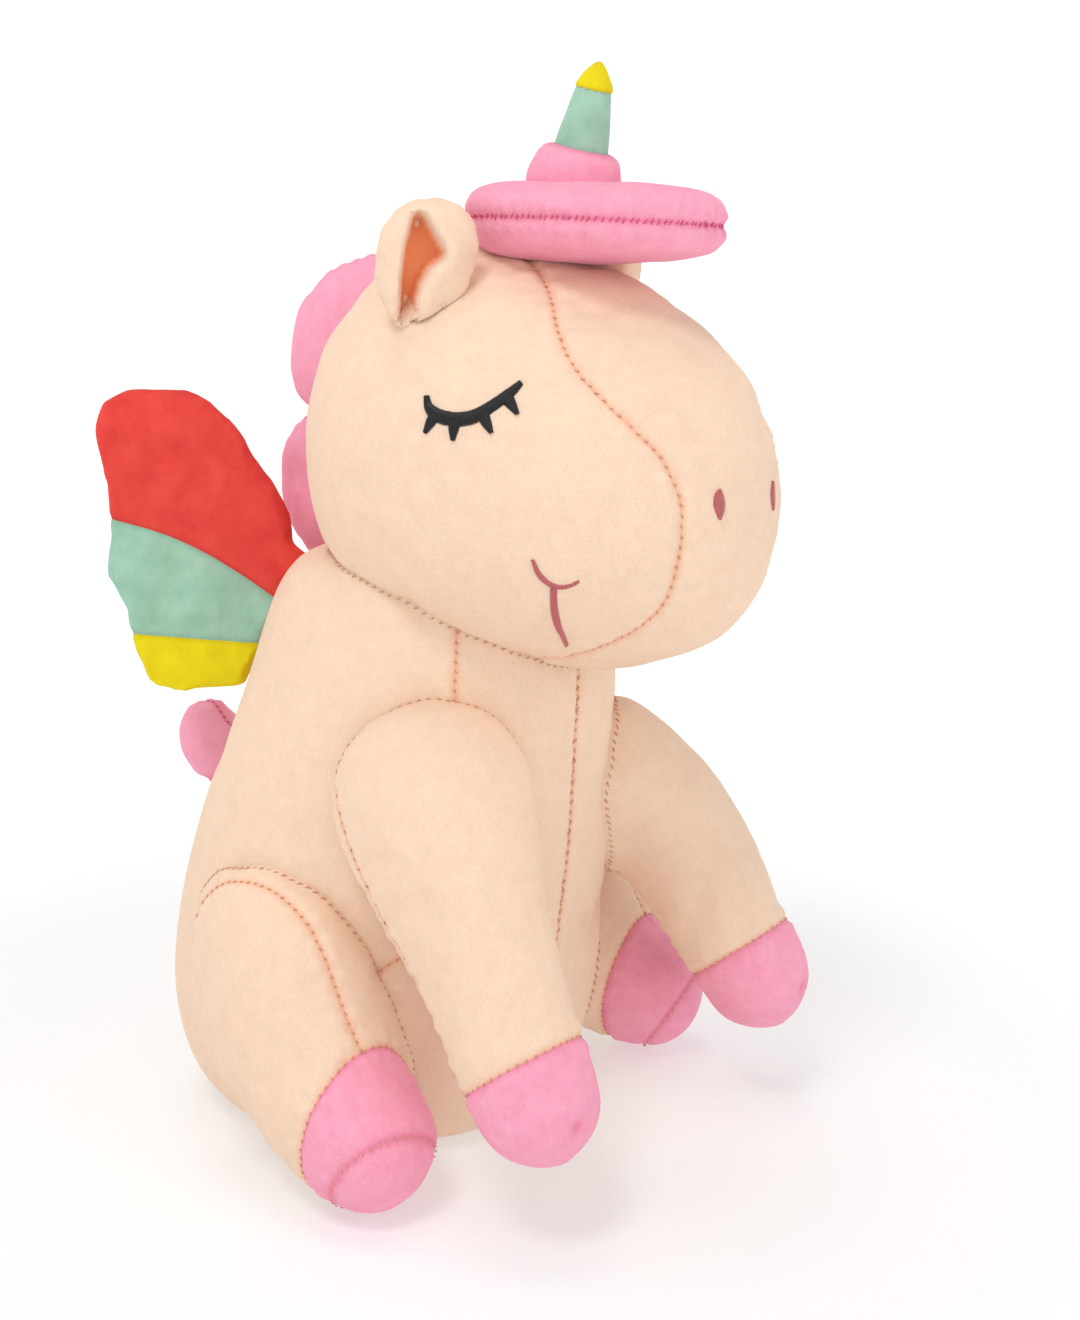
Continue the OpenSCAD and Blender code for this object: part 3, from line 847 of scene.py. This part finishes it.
for skin_ob in (arm, leg):
    keep_largest(remesh(skin_ob, LIMB_VOXEL))
for skin_ob in (torso, head, arm, leg, lock, mane_top, mane_low, tail, wing):
    relax(skin_ob, 3)
    finer(skin_ob)
stand_off(torso, tree(head), room=-3.0)
relax(torso, 2)
for skin_ob in (torso, leg):
    rest_on_floor(skin_ob)
torso_bvh = tree(torso)
head_bvh = tree(head)
for skin_ob in (mane_top, mane_low, lock):
    stand_off(skin_ob, head_bvh, 0.3)


# ---------------------------------------------------------------- torso
core = union_blob("torso_stuffing", ["torso_fill"], 3.0, 6, 1.6)
dress(push(core, wander(points(core), 9, 4.2)*0.7), "torso", "filling", "torso_fill", fill=0.8)


def torso_label(c):
    back = torso_side(c) > 0
    k = np.where(back, 2, 0) + np.where(c[:, 0] > 0, 1, 0)
    return np.where(seat_edge(c) < 0, 4, k)


neck_line = seam_line(torso, lambda p: signed(head_bvh, p)[0] - 0.8)
panels, torso_seams = sew(torso, [torso_side, torso_middle, seat_edge], torso_label,
                          [n + "_panel" for n in torso_cover])
for n in torso_cover:
    dress(panels[n + "_panel"], "torso", "cream_velour", n, fill=0.8)
dress(running_stitch("torso_seam_stitches", torso_seams), "torso", "cream_velour", thread=True)
dress(running_stitch("neck_seam_stitches", neck_line, lift=0.3), "torso", "cream_velour", thread=True)


def chest_seam(lines):
    """The part of the middle seam that runs down the chest."""
    found = []
    for p, n in lines:
        keep = (np.abs(p[:, 0]) < 1.5) & (p[:, 1] < -35) & (p[:, 2] > 62)
        if keep.sum() > 4:
            found.append((p[keep], n[keep]))
    return found


for lean in (-55, 55):
    rungs = running_stitch("chest_ladder_" + ("down" if lean < 0 else "up"), chest_seam(torso_seams),
                           pitch=3.0, length=3.0, slant=lean)
    dress(rungs, "torso", "cream_velour", thread=True)

neck = union_blob("neck_stuffing", ["neck_fill"], 2.5, 4)
dress(push(neck, wander(points(neck), 7, 1.1)*0.3 - 0.3), "neck", "filling", "neck_fill", fill=0.9)

# ---------------------------------------------------------------- head
stuffing(head, "head_stuffing", "head", "head_fill")


def head_label(c):
    return np.where(gusset(c) > 0, 2, np.where(c[:, 0] > 0, 1, 0))


# Place, reach, slope in degrees, spacing and height of each set of folds
CHEEK_FOLDS = [((54, -50, 184), 17, -25, 13, 0.3), ((52, -72, 197), 11, -40, 10, 0.25),
               ((44, -94, 178), 10, 30, 9, 0.25)]


def cheek_wrinkles(p, n):
    """Soft shallow folds on the cheeks and under the eyes."""
    by = 0.35*wander(p, 16, 2.0) + 0.16*wander(p, 6, 5.0)
    for k in (-1, 1):
        for (x, y, z), size, angle, pitch, high in CHEEK_FOLDS:
            d = np.linalg.norm(p - np.array((k*x, y, z)), axis=1)
            a = math.radians(angle)
            along = p[:, 1]*math.sin(a) + p[:, 2]*math.cos(a)
            by = by + high*np.sin(along*2*math.pi/pitch + 2*wander(p, 20, 7.0))*bell(d, size)
    return p + n*by[:, None], np.zeros(len(p))


panels, head_seams = sew(head, [gusset, torso_middle], head_label, [n + "_panel" for n in head_cover],
                         depth=0.8, extra=cheek_wrinkles)
for n in head_cover:
    dress(panels[n + "_panel"], "head", "cream_velour", n, fill=0.8)
dress(running_stitch("head_seam_stitches", head_seams, length=1.5), "head", "cream_velour", thread=True)

# ---------------------------------------------------------------- embroidered face
# Lines of the closed eye and the mouth, as y and z on the side of the head
LID = [(-58.2, 216.4), (-59.6, 213.6), (-62.6, 211.8), (-67, 211), (-71.5, 211.8), (-75.5, 214.4),
       (-78.6, 217.4), (-80.4, 220)]
LASHES = [[(-61.5, 211.9), (-60.4, 210), (-59.3, 207.6)], [(-67, 210.4), (-67, 208.4), (-67.2, 205.8)],
          [(-73.6, 212.3), (-75, 210.3), (-76.8, 207.8)], [(-78.2, 216.2), (-79.8, 214.4), (-81.6, 212.3)]]
SMILE = [(-86.4, 177.4), (-87, 173.6), (-88.8, 171.2), (-91.2, 170.4), (-93.8, 171), (-95.8, 172.2)]
CHIN = [(-89.6, 170), (-88, 165.2), (-86, 159), (-83.6, 153)]


def band(bvh, yz, half, side, count=60):
    p, n = on_skin(bvh, curve_through(yz, count), side)
    return p, n, half


for side_name, k in SIDES:
    side = -k
    eye = [band(head_bvh, LID, [0.9, 1.7, 2.0, 2.1, 2.1, 2.0, 1.7, 0.9], side)]
    eye += [band(head_bvh, lash, [2.0, 1.4, 0.6], side, 16) for lash in LASHES]
    dress(satin("eyelash_embroidery_" + side_name, eye), "head", "black_thread", "eyelashes_" + side_name)
    mouth = [band(head_bvh, SMILE, [0.5, 0.75, 0.75, 0.5], side, 30),
             band(head_bvh, CHIN, [1.1, 1.2, 1.0, 0.5], side, 24)]
    dress(satin("mouth_embroidery_" + side_name, mouth, radius=0.25, arch=0.3),
          "head", "rose_thread", "mouth_" + side_name)
    c = mid_of("nostril_" + side_name)
    line_p, line_n = [], []
    for z in np.linspace(-3.8, 3.8, 16):
        hit, m, _, _ = head_bvh.ray_cast(Vector((c[0] + 1.2*side, -160, c[2] + z)), Vector((0, 1, 0)))
        line_p.append(hit)
        line_n.append(m)
    spot = [(np.array(line_p), np.array(line_n), [0.5, 1.5, 2.1, 2.2, 2.1, 1.5, 0.5])]
    dress(satin("nostril_embroidery_" + side_name, spot, arch=0.4),
          "head", "rose_thread", "nostril_" + side_name)

# ---------------------------------------------------------------- limbs
def flipped(field, flip):
    """A field of the right side, for either side."""
    return lambda p: field(p*flip)


def limb(skin_ob, side_name, k, kind, seams, label, folds):
    """An arm or a leg, from the skin of the right one."""
    body = f"{kind}_{side_name}"
    for_side = skin_ob
    if side_name == "left":
        for_side = mirrored(skin_ob, kind + "_skin_left")
        if kind == "arm":
            droop(for_side)
    flip = np.array((k, 1, 1))
    names = [f"{body}_{c}_panel" for c in LIMB_COVERS]
    stuffing(for_side, body + "_stuffing", body, body + "_fill", inset=4.5)

    ring = seam_line(for_side, lambda p: signed(torso_bvh, p)[0] - 1.6)
    sole = seam_line(for_side, flipped(LEG_SOLE, flip)) if kind == "leg" else []
    made, lines = sew(for_side, [flipped(f, flip) for f in seams], lambda c: label(c*flip), names,
                      extra=folds)
    for c, n in zip(LIMB_COVERS, names):
        slot = "pink_velour" if c == "hoof" else "cream_velour"
        dress(made[n], body, slot, f"{body}_{c}", fill=0.8)
    keep = []
    for p, n in lines + sole:
        outside = signed(torso_bvh, p)[0] > 1.0
        if outside.sum() > 4:
            keep.append((p[outside], n[outside]))
    dress(running_stitch(body + "_seam_stitches", keep), body, "cream_velour", thread=True)
    dress(running_stitch(body + "_root_stitches", ring, length=2.0, lift=0.1),
          body, "cream_velour", thread=True)


def droop(ob):
    """The left shoulder is sewn on a little lower than the right one."""
    p = points(ob)
    w = smoothstep((p[:, 2] - 72)/60)
    set_points(ob, p - w[:, None]*np.array((4.0, 0, 13.0)))


def arm_label(c):
    return np.where(ARM_CUFF(c) > 0, 2, np.where(ARM_SEAM(c) > 0, 1, 0))


def leg_label(c):
    return np.where(LEG_CUFF(c) > 0, 2, np.where(LEG_SEAM(c) > 0, 1, 0))


def to_right(p):
    """The same places on the right side of the toy."""
    return p*np.array((-np.sign(p[:, 0].mean()), 1, 1))


def arm_folds(p, n):
    """Slack fabric, and the drawn-in dimple at the end of the hoof, with painted shade in it."""
    q = to_right(p)
    pucker = np.linalg.norm(q - HOOF_PUCKER, axis=1)
    by = 0.3*wander(p, 14, 3.0) + 0.12*wander(p, 5, 6.0) - 1.8*bell(pucker, 3.5)
    return p + n*by[:, None], SHADE_STRENGTH*bell(pucker, 2.0)


def leg_folds(p, n):
    """Slack fabric, and the groove round the sole of the hoof, with painted shade along it."""
    end = LEG_SOLE(to_right(p))
    by = 0.3*wander(p, 14, 3.0) + 0.12*wander(p, 5, 6.0) - 0.6*bell(end, 1.3)
    return p + n*by[:, None], SHADE_STRENGTH*bell(end, 0.9)


for side_name, k in reversed(SIDES):
    limb(arm, side_name, k, "arm", [ARM_CUFF, ARM_SEAM], arm_label, arm_folds)
    limb(leg, side_name, k, "leg", [LEG_CUFF, LEG_SEAM], leg_label, leg_folds)

# ---------------------------------------------------------------- ears
EAR_MID = np.array((-42.1, -48.9, 249.0))
EAR_FRONT = unit((-0.7, -0.71, 0))
EAR_UP = unit((-0.03, 0.03, 1))
EAR_ACROSS = unit(np.cross(EAR_UP, EAR_FRONT))
# Outline of the right ear and of its hollow, as distance across and up from its middle
EAR_EDGE = [(-13, -2.6), (-12.4, 3.2), (-10.2, 9.4), (-5.7, 13.9), (-0.2, 15.7), (5.2, 15.3), (9.9, 13),
            (12.5, 9.2), (13.4, 4.5), (12, -1.3), (9.9, -6.6), (6.6, -11.6), (1, -14.8), (-5.6, -15.4),
            (-9.8, -12.8), (-12.2, -7.9)]
EAR_HOLLOW = [(-1.6, 10.2), (2.6, 2.2), (-1, -0.4), (-3.4, -4), (-4.9, -8.2), (-5.6, -14.5), (-6.2, -14.5),
              (-5.2, -3.9), (-3.9, 3.4)]
EAR_HALF_T = 5.5


def outline_distance(ab, outline):
    """Distance from a closed outline, negative inside it."""
    a = np.array(outline, float)
    b = np.roll(a, -1, axis=0)
    best = np.full(len(ab), 1e9)
    inside = np.zeros(len(ab), bool)
    for p, q in zip(a, b):
        t = np.clip(((ab - p) @ (q - p))/((q - p) @ (q - p)), 0, 1)
        best = np.minimum(best, np.linalg.norm(ab - p - t[:, None]*(q - p), axis=1))
        crosses = (p[1] > ab[:, 1]) != (q[1] > ab[:, 1])
        x = p[0] + (ab[:, 1] - p[1])*(q[0] - p[0])/(q[1] - p[1] if q[1] != p[1] else 1e-9)
        inside ^= crosses & (ab[:, 0] < x)
    return np.where(inside, -best, best)


def closed_curve(outline, count):
    """A smooth closed line through the points of an outline."""
    a = np.array(outline, float)
    full = curve_through(np.vstack([a[-1], a, a[0], a[1]]), 400)
    off = np.linalg.norm(full - a[0], axis=1)
    start = int(np.argmin(off))
    after = start + 40
    loop = full[start:after + int(np.argmin(off[after:]))]
    return loop[np.linspace(0, len(loop) - 1, count, endpoint=False).astype(int)]


def pillow(name, mid, across, up, front, outline, half_t, rings=14, sides=96):
    """A closed pillow with this outline, rounded at its edge."""
    edge = closed_curve(outline, sides)
    centre = edge.mean(0)
    verts, faces = [], []
    share = np.sin(np.linspace(0, 1, rings + 1)*math.pi/2)
    for sign in (1, -1):
        for t in share[:-1] if sign > 0 else share[-2::-1]:
            ab = centre + (edge - centre)*t
            h = sign*half_t*(1 - t**3)**0.5
            verts.append(mid + ab[:, :1]*across + ab[:, 1:]*up + h*front)
        if sign > 0:
            verts.append(mid + edge[:, :1]*across + edge[:, 1:]*up)
    rows = len(verts)
    for i in range(rows - 1):
        for j in range(sides):
            k = (j + 1) % sides
            faces.append((i*sides + j, (i + 1)*sides + j, (i + 1)*sides + k, i*sides + k))
    return remesh(mesh_object(name, np.concatenate(verts), faces), 1.0)


def ear_piece(side_name, k):
    flip = np.array((k, 1, 1))
    ear = pillow("ear_skin_" + side_name, EAR_MID*flip, EAR_ACROSS*flip, EAR_UP*flip, EAR_FRONT*flip,
                 EAR_EDGE, EAR_HALF_T)
    relax(ear, 4)
    stand_off(ear, head_bvh, 0.2)

    def front(p):
        return (p*flip - EAR_MID) @ EAR_FRONT + 2.2

    def hollow(p, n):
        q = p*flip - EAR_MID
        ab = np.stack([q @ EAR_ACROSS, q @ EAR_UP], 1)
        d = outline_distance(ab, EAR_HOLLOW)
        faces = smoothstep((q @ EAR_FRONT)/2)
        w = smoothstep(1 - (d - 0.2)/2.4)*faces
        rim = bell(d - 4.2, 2.6)*faces
        p = p + (EAR_FRONT*flip)*(1.3*rim - 8.5*w)[:, None]
        # painted shade down in the hollow
        return p + n*(0.16*wander(p, 6, 8.0))[:, None], 0.9*smoothstep((w - 0.25)/0.6)

    names = [f"ear_{side_name}_outer_panel", f"ear_{side_name}_lining_panel"]
    made, lines = sew(ear, [front], lambda c: (front(c) > 0).astype(int), names,
                      depth=0.3, pucker=0.12, extra=hollow)
    for n, cover in zip(names, ("outer", "lining")):
        dress(made[n], "ear_" + side_name, "cream_velour", f"ear_{side_name}_{cover}", fill=0.4)
    dress(running_stitch(f"ear_{side_name}_seam_stitches", lines, pitch=2.0, length=1.0, radius=0.14),
          "ear_" + side_name, "cream_velour", thread=True)


for side_name, k in SIDES:
    ear_piece(side_name, k)

# ---------------------------------------------------------------- forelock
stuffing(lock, "forelock_stuffing", "forelock", "forelock_fill", inset=2.8, lumps=0.4)


def lock_folds(p, n):
    """Gathers that run in from the edge seam."""
    low, high = p.min(0), p.max(0)
    edge = np.abs(LOCK_SEAM(p))
    turn = np.arctan2(p[:, 1] - (low[1] + high[1])/2, p[:, 0])
    by = 0.35*np.sin(turn*46 + 3*wander(p, 12, 1.5))*bell(edge - 2.0, 2.6)
    by = by + 0.5*wander(p, 15, 9.0) + 0.2*wander(p, 6, 2.5)
    return p + n*by[:, None], np.zeros(len(p))


panels, lines = sew(lock, [LOCK_SEAM], lambda c: (LOCK_SEAM(c) < 0).astype(int),
                    ["forelock_top_panel", "forelock_bottom_panel"], depth=1.0, width=1.3, extra=lock_folds)
dress(panels["forelock_top_panel"], "forelock", "pink_velour", "forelock_top", fill=0.7)
dress(panels["forelock_bottom_panel"], "forelock", "pink_velour", "forelock_bottom", fill=0.7)
dress(running_stitch("forelock_seam_stitches", lines, pitch=1.8, length=2.8, slant=60, radius=0.18),
      "forelock", "pink_velour", thread=True)

# ---------------------------------------------------------------- mane and tail
def lobe(skin_ob, name, body, folds):
    """A stuffed pink piece sewn from a right and a left panel."""
    names = [name + "_right_panel", name + "_left_panel"]
    stuffing(skin_ob, name + "_stuffing", body, name + "_fill", inset=2.8, lumps=0.4)
    made, lines = sew(skin_ob, [torso_middle], lambda c: (c[:, 0] > 0).astype(int), names,
                      depth=0.8, width=1.3, extra=folds)
    for n in names:
        dress(made[n], body, "pink_velour", name + "_cover", fill=0.7)
    dress(running_stitch(name + "_seam_stitches", lines, pitch=2.2, slant=45),
          body, "pink_velour", thread=True)


def mane_folds(p, n):
    """Slack fabric, drawn in where the two lobes meet."""
    notch = np.hypot(p[:, 1] - 29, p[:, 2] - 247)
    by = 0.4*wander(p, 12, 3.3) + 0.2*wander(p, 5, 4.1) - 1.8*bell(notch, 4)
    return p + n*by[:, None], np.zeros(len(p))


def tail_folds(p, n):
    """Slack fabric, and the fold where the tail curls over, with painted shade along it."""
    curl = plane((0, 78, 86), (0, 0.35, 0.94))(p)
    by = 0.3*wander(p, 10, 5.3) - 1.4*bell(curl, 2.2)
    return p + n*by[:, None], 0.5*bell(curl, 1.4)


lobe(mane_top, "mane_upper", "head", mane_folds)
lobe(mane_low, "mane_lower", "mane", mane_folds)
lobe(tail, "tail", "tail", tail_folds)

# ---------------------------------------------------------------- horn
HORN_FOOT = np.array((0.0, -64.0, 269.0))
HORN_AXIS = unit((0, -math.sin(math.radians(15)), math.cos(math.radians(15))))
HORN_U = np.array((1.0, 0.0, 0.0))
HORN_W = np.cross(HORN_AXIS, HORN_U)
# Outlines of the horn's bands, as radius and height above the foot
HORN_BASE = [(10.6, -2.4), (12.3, -1.2), (12.7, 0.8), (12.3, 3.4), (11.5, 6), (10.7, 7.9), (9.5, 9.3),
             (7.4, 10), (4, 10)]
HORN_MIDDLE = [(5, 8.6), (6.8, 9.2), (7.1, 10.6), (6.7, 13.4), (6.1, 17), (5.4, 21), (4.8, 24),
               (4.2, 25.5), (2.5, 25.9)]
HORN_TIP = [(2.5, 24.8), (4.5, 25), (4.8, 25.9), (4.2, 27.4), (3.1, 29.2), (1.9, 30.8), (0.9, 31.8),
            (0.15, 32.1)]


def horn_band(name, profile, slot, node, seed):
    """A padded ring of the horn, turned from (radius, height), dented by soft folds and given painted shade
    at its edges.
    """
    sides = 72
    prof = curve_through(profile, 26)
    a = np.arange(sides)*2*math.pi/sides
    verts = []
    for r, h in prof:
        ring = HORN_FOOT + HORN_AXIS*h + r*(np.cos(a)[:, None]*HORN_U + np.sin(a)[:, None]*HORN_W)
        verts.append(ring)
    verts = np.concatenate(verts)
    rows = len(prof)
    faces = [(i*sides + j, i*sides + (j + 1) % sides, (i + 1)*sides + (j + 1) % sides, (i + 1)*sides + j)
             for i in range(rows - 1) for j in range(sides)]
    faces += [tuple(range(sides))[::-1], tuple((rows - 1)*sides + j for j in range(sides))]
    ob = mesh_object(name, verts, faces)
    height = (verts - HORN_FOOT) @ HORN_AXIS
    low, high = height.min(), height.max()
    edge = np.minimum(height - low, high - height)
    turn = np.tile(a, rows)
    dents = 0.22*wander(verts, 5, seed) + 0.16*np.sin(turn*13 + seed)*bell(edge - 0.8, 1.5)
    push(ob, dents*smoothstep((high - height)/3))
    # painted shade at the band's edges, where the bands meet
    ob.data.attributes.new("painted_shade", "FLOAT", "POINT").data.foreach_set(
        "value", (SHADE_STRENGTH*bell(edge, 0.8)).astype(np.float32))
    return dress(ob, "horn", slot, node, fill=0.7)


horn_band("horn_base_padded_band", HORN_BASE, "pink_velour", "horn_base_band", 2.0)
horn_band("horn_middle_padded_band", HORN_MIDDLE, "mint_fabric", "horn_middle_band", 5.0)
horn_band("horn_tip_padded_band", HORN_TIP, "yellow_fabric", "horn_tip_band", 8.0)
core = union_blob("horn_stuffing", ["horn_fill"], 1.6, 4)
dress(push(core, wander(points(core), 5, 2.2)*0.2 - 1.6), "horn", "filling", "horn_fill", fill=0.8)

# ---------------------------------------------------------------- wings
def wing_piece(side_name, k):
    flip = np.array((k, 1, 1))
    skin_ob = mirrored(wing, "wing_skin_left") if side_name == "left" else wing
    body = "wing_" + side_name
    stuffing(skin_ob, f"wing_{side_name}_stuffing", body, f"wing_{side_name}_padding", inset=1.9, lumps=0.2)
    low, high = flipped(WING_LOW, flip), flipped(WING_HIGH, flip)

    def folds(p, n):
        q = p*flip
        flat = np.abs(n*flip @ WING_OUT)
        seam = np.minimum(np.abs(WING_LOW(q)), np.abs(WING_HIGH(q)))
        puff = 0.8*smoothstep(seam/9)
        wave = np.sin(wing_reach(q)*2*math.pi/19 + 0.09*q[:, 2] + 2*wander(q, 22, 4.0))
        creases = 0.45*wave*bell(seam - 12, 10)
        by = (puff + creases + 0.3*wander(q, 13, 6.0) + 0.1*wander(q, 5, 2.0))*smoothstep((flat - 0.55)/0.4)
        front = np.sign(n*flip @ WING_OUT)*by
        return p + (WING_OUT*flip)*front[:, None], np.zeros(len(p))

    def label(c):
        return np.where(high(c) > 0, 0, np.where(low(c) > 0, 1, 2))

    names = [f"wing_{side_name}_{b}_panel" for b in WING_BANDS]
    made, _ = sew(skin_ob, [low, high], label, names,
                  depth=0.3, width=1.0, lip=0.1, pucker=0.0, extra=folds)
    for b, n, s in zip(WING_BANDS, names, ("coral_fabric", "mint_fabric", "yellow_fabric")):
        dress(made[n], body, s, f"wing_{side_name}_{b}", fill=0.6)


for side_name, k in reversed(SIDES):
    wing_piece(side_name, k)

# ---------------------------------------------------------------- stage, light and camera
# Radius and height of the floor and the backdrop, in metres
FLOOR_PROFILE = [(0.6, 0), (1.5, 0), (2.6, 0), (3.4, 0.12), (4.1, 0.5), (4.6, 1.1), (4.9, 2.0), (5.0, 3.2)]


def studio_floor():
    """A pale floor that curves up into a backdrop all round, glowing with painted light that is dimmer near
    the middle and brighter further out.
    """
    sides = 96
    verts = [(0, 0, 0)]
    for r, z in FLOOR_PROFILE:
        for i in range(sides):
            a = 2*math.pi*i/sides
            verts.append((r*math.cos(a)/MM, r*math.sin(a)/MM, z/MM))
    faces = [(0, 1 + i, 1 + (i + 1) % sides) for i in range(sides)]
    for k in range(len(FLOOR_PROFILE) - 1):
        o = 1 + k*sides
        for i in range(sides):
            j = (i + 1) % sides
            faces.append((o + i, o + sides + i, o + sides + j, o + j))
    ob = mesh_object("studio_floor", verts, faces)
    m, nt, shader, at = new_material("studio_floor")
    nt.links.new(ramp(nt, noise_node(nt, at, 3, 2.0), 0.3, 0.7, (srgb(196, 196, 196), srgb(200, 200, 200))),
                 shader.inputs["Base Color"])
    away = nt.nodes.new("ShaderNodeVectorMath")
    away.operation = "LENGTH"
    nt.links.new(at, away.inputs[0])
    # painted light: the floor glows, dimmer within 0.2 m of the middle and brighter beyond 0.55 m
    painted_glow = ramp(nt, away.outputs["Value"], 0.2, 0.55, ((0.4, 0.4, 0.4, 1), (0.66, 0.66, 0.66, 1)))
    nt.links.new(painted_glow, shader.inputs["Emission Color"])
    set_sockets(shader, {"Roughness": 0.9, "Specular IOR Level": 0.1, "Emission Strength": 1.0})
    ob.data.materials.append(m)
    ob.data.shade_smooth()


def area_light(name, place, target, size, power):
    data = bpy.data.lights.new(name, "AREA")
    data.shape = "DISK"
    data.size = size
    data.energy = power
    ob = link(bpy.data.objects.new(name, data))
    ob.location = place
    ob.rotation_euler = (Vector(target) - Vector(place)).to_track_quat("-Z", "Y").to_euler()


def studio():
    studio_floor()
    world = bpy.data.worlds.new("studio")
    SCENE.world = world
    world.use_nodes = True
    set_sockets(world.node_tree.nodes["Background"], {"Color": (1, 1, 1, 1), "Strength": 0.4})
    area_light("key", (-1.1, -0.3, 1.9), (0, 0, 0.13), 0.6, 13)
    area_light("front", (-0.4, -1.7, 1.0), (0, 0, 0.13), 1.2, 3)
    area_light("top", (0.0, 0.2, 2.2), (0, 0, 0.1), 1.0, 9)
    SCENE.view_settings.view_transform = "Standard"


# The photo's camera: place in metres, heading from +Y towards +X and tilt down in degrees, lens in mm
CAMERA_AT = (-0.3917, -0.3451, 0.237)
CAMERA_HEADING, CAMERA_DOWN = 53.3, 11.13
CAMERA_LENS = 48.35


def photo_camera():
    data = bpy.data.cameras.new("photo_camera")
    data.lens = CAMERA_LENS
    data.sensor_width = 36
    data.clip_start = 0.05
    data.clip_end = 50
    ob = link(bpy.data.objects.new("photo_camera", data))
    ob.location = CAMERA_AT
    heading, pitch = math.radians(CAMERA_HEADING), math.radians(CAMERA_DOWN)
    look = Vector((math.sin(heading)*math.cos(pitch), math.cos(heading)*math.cos(pitch), -math.sin(pitch)))
    ob.rotation_euler = look.to_track_quat("-Z", "Y").to_euler()
    SCENE.camera = ob


studio()
photo_camera()
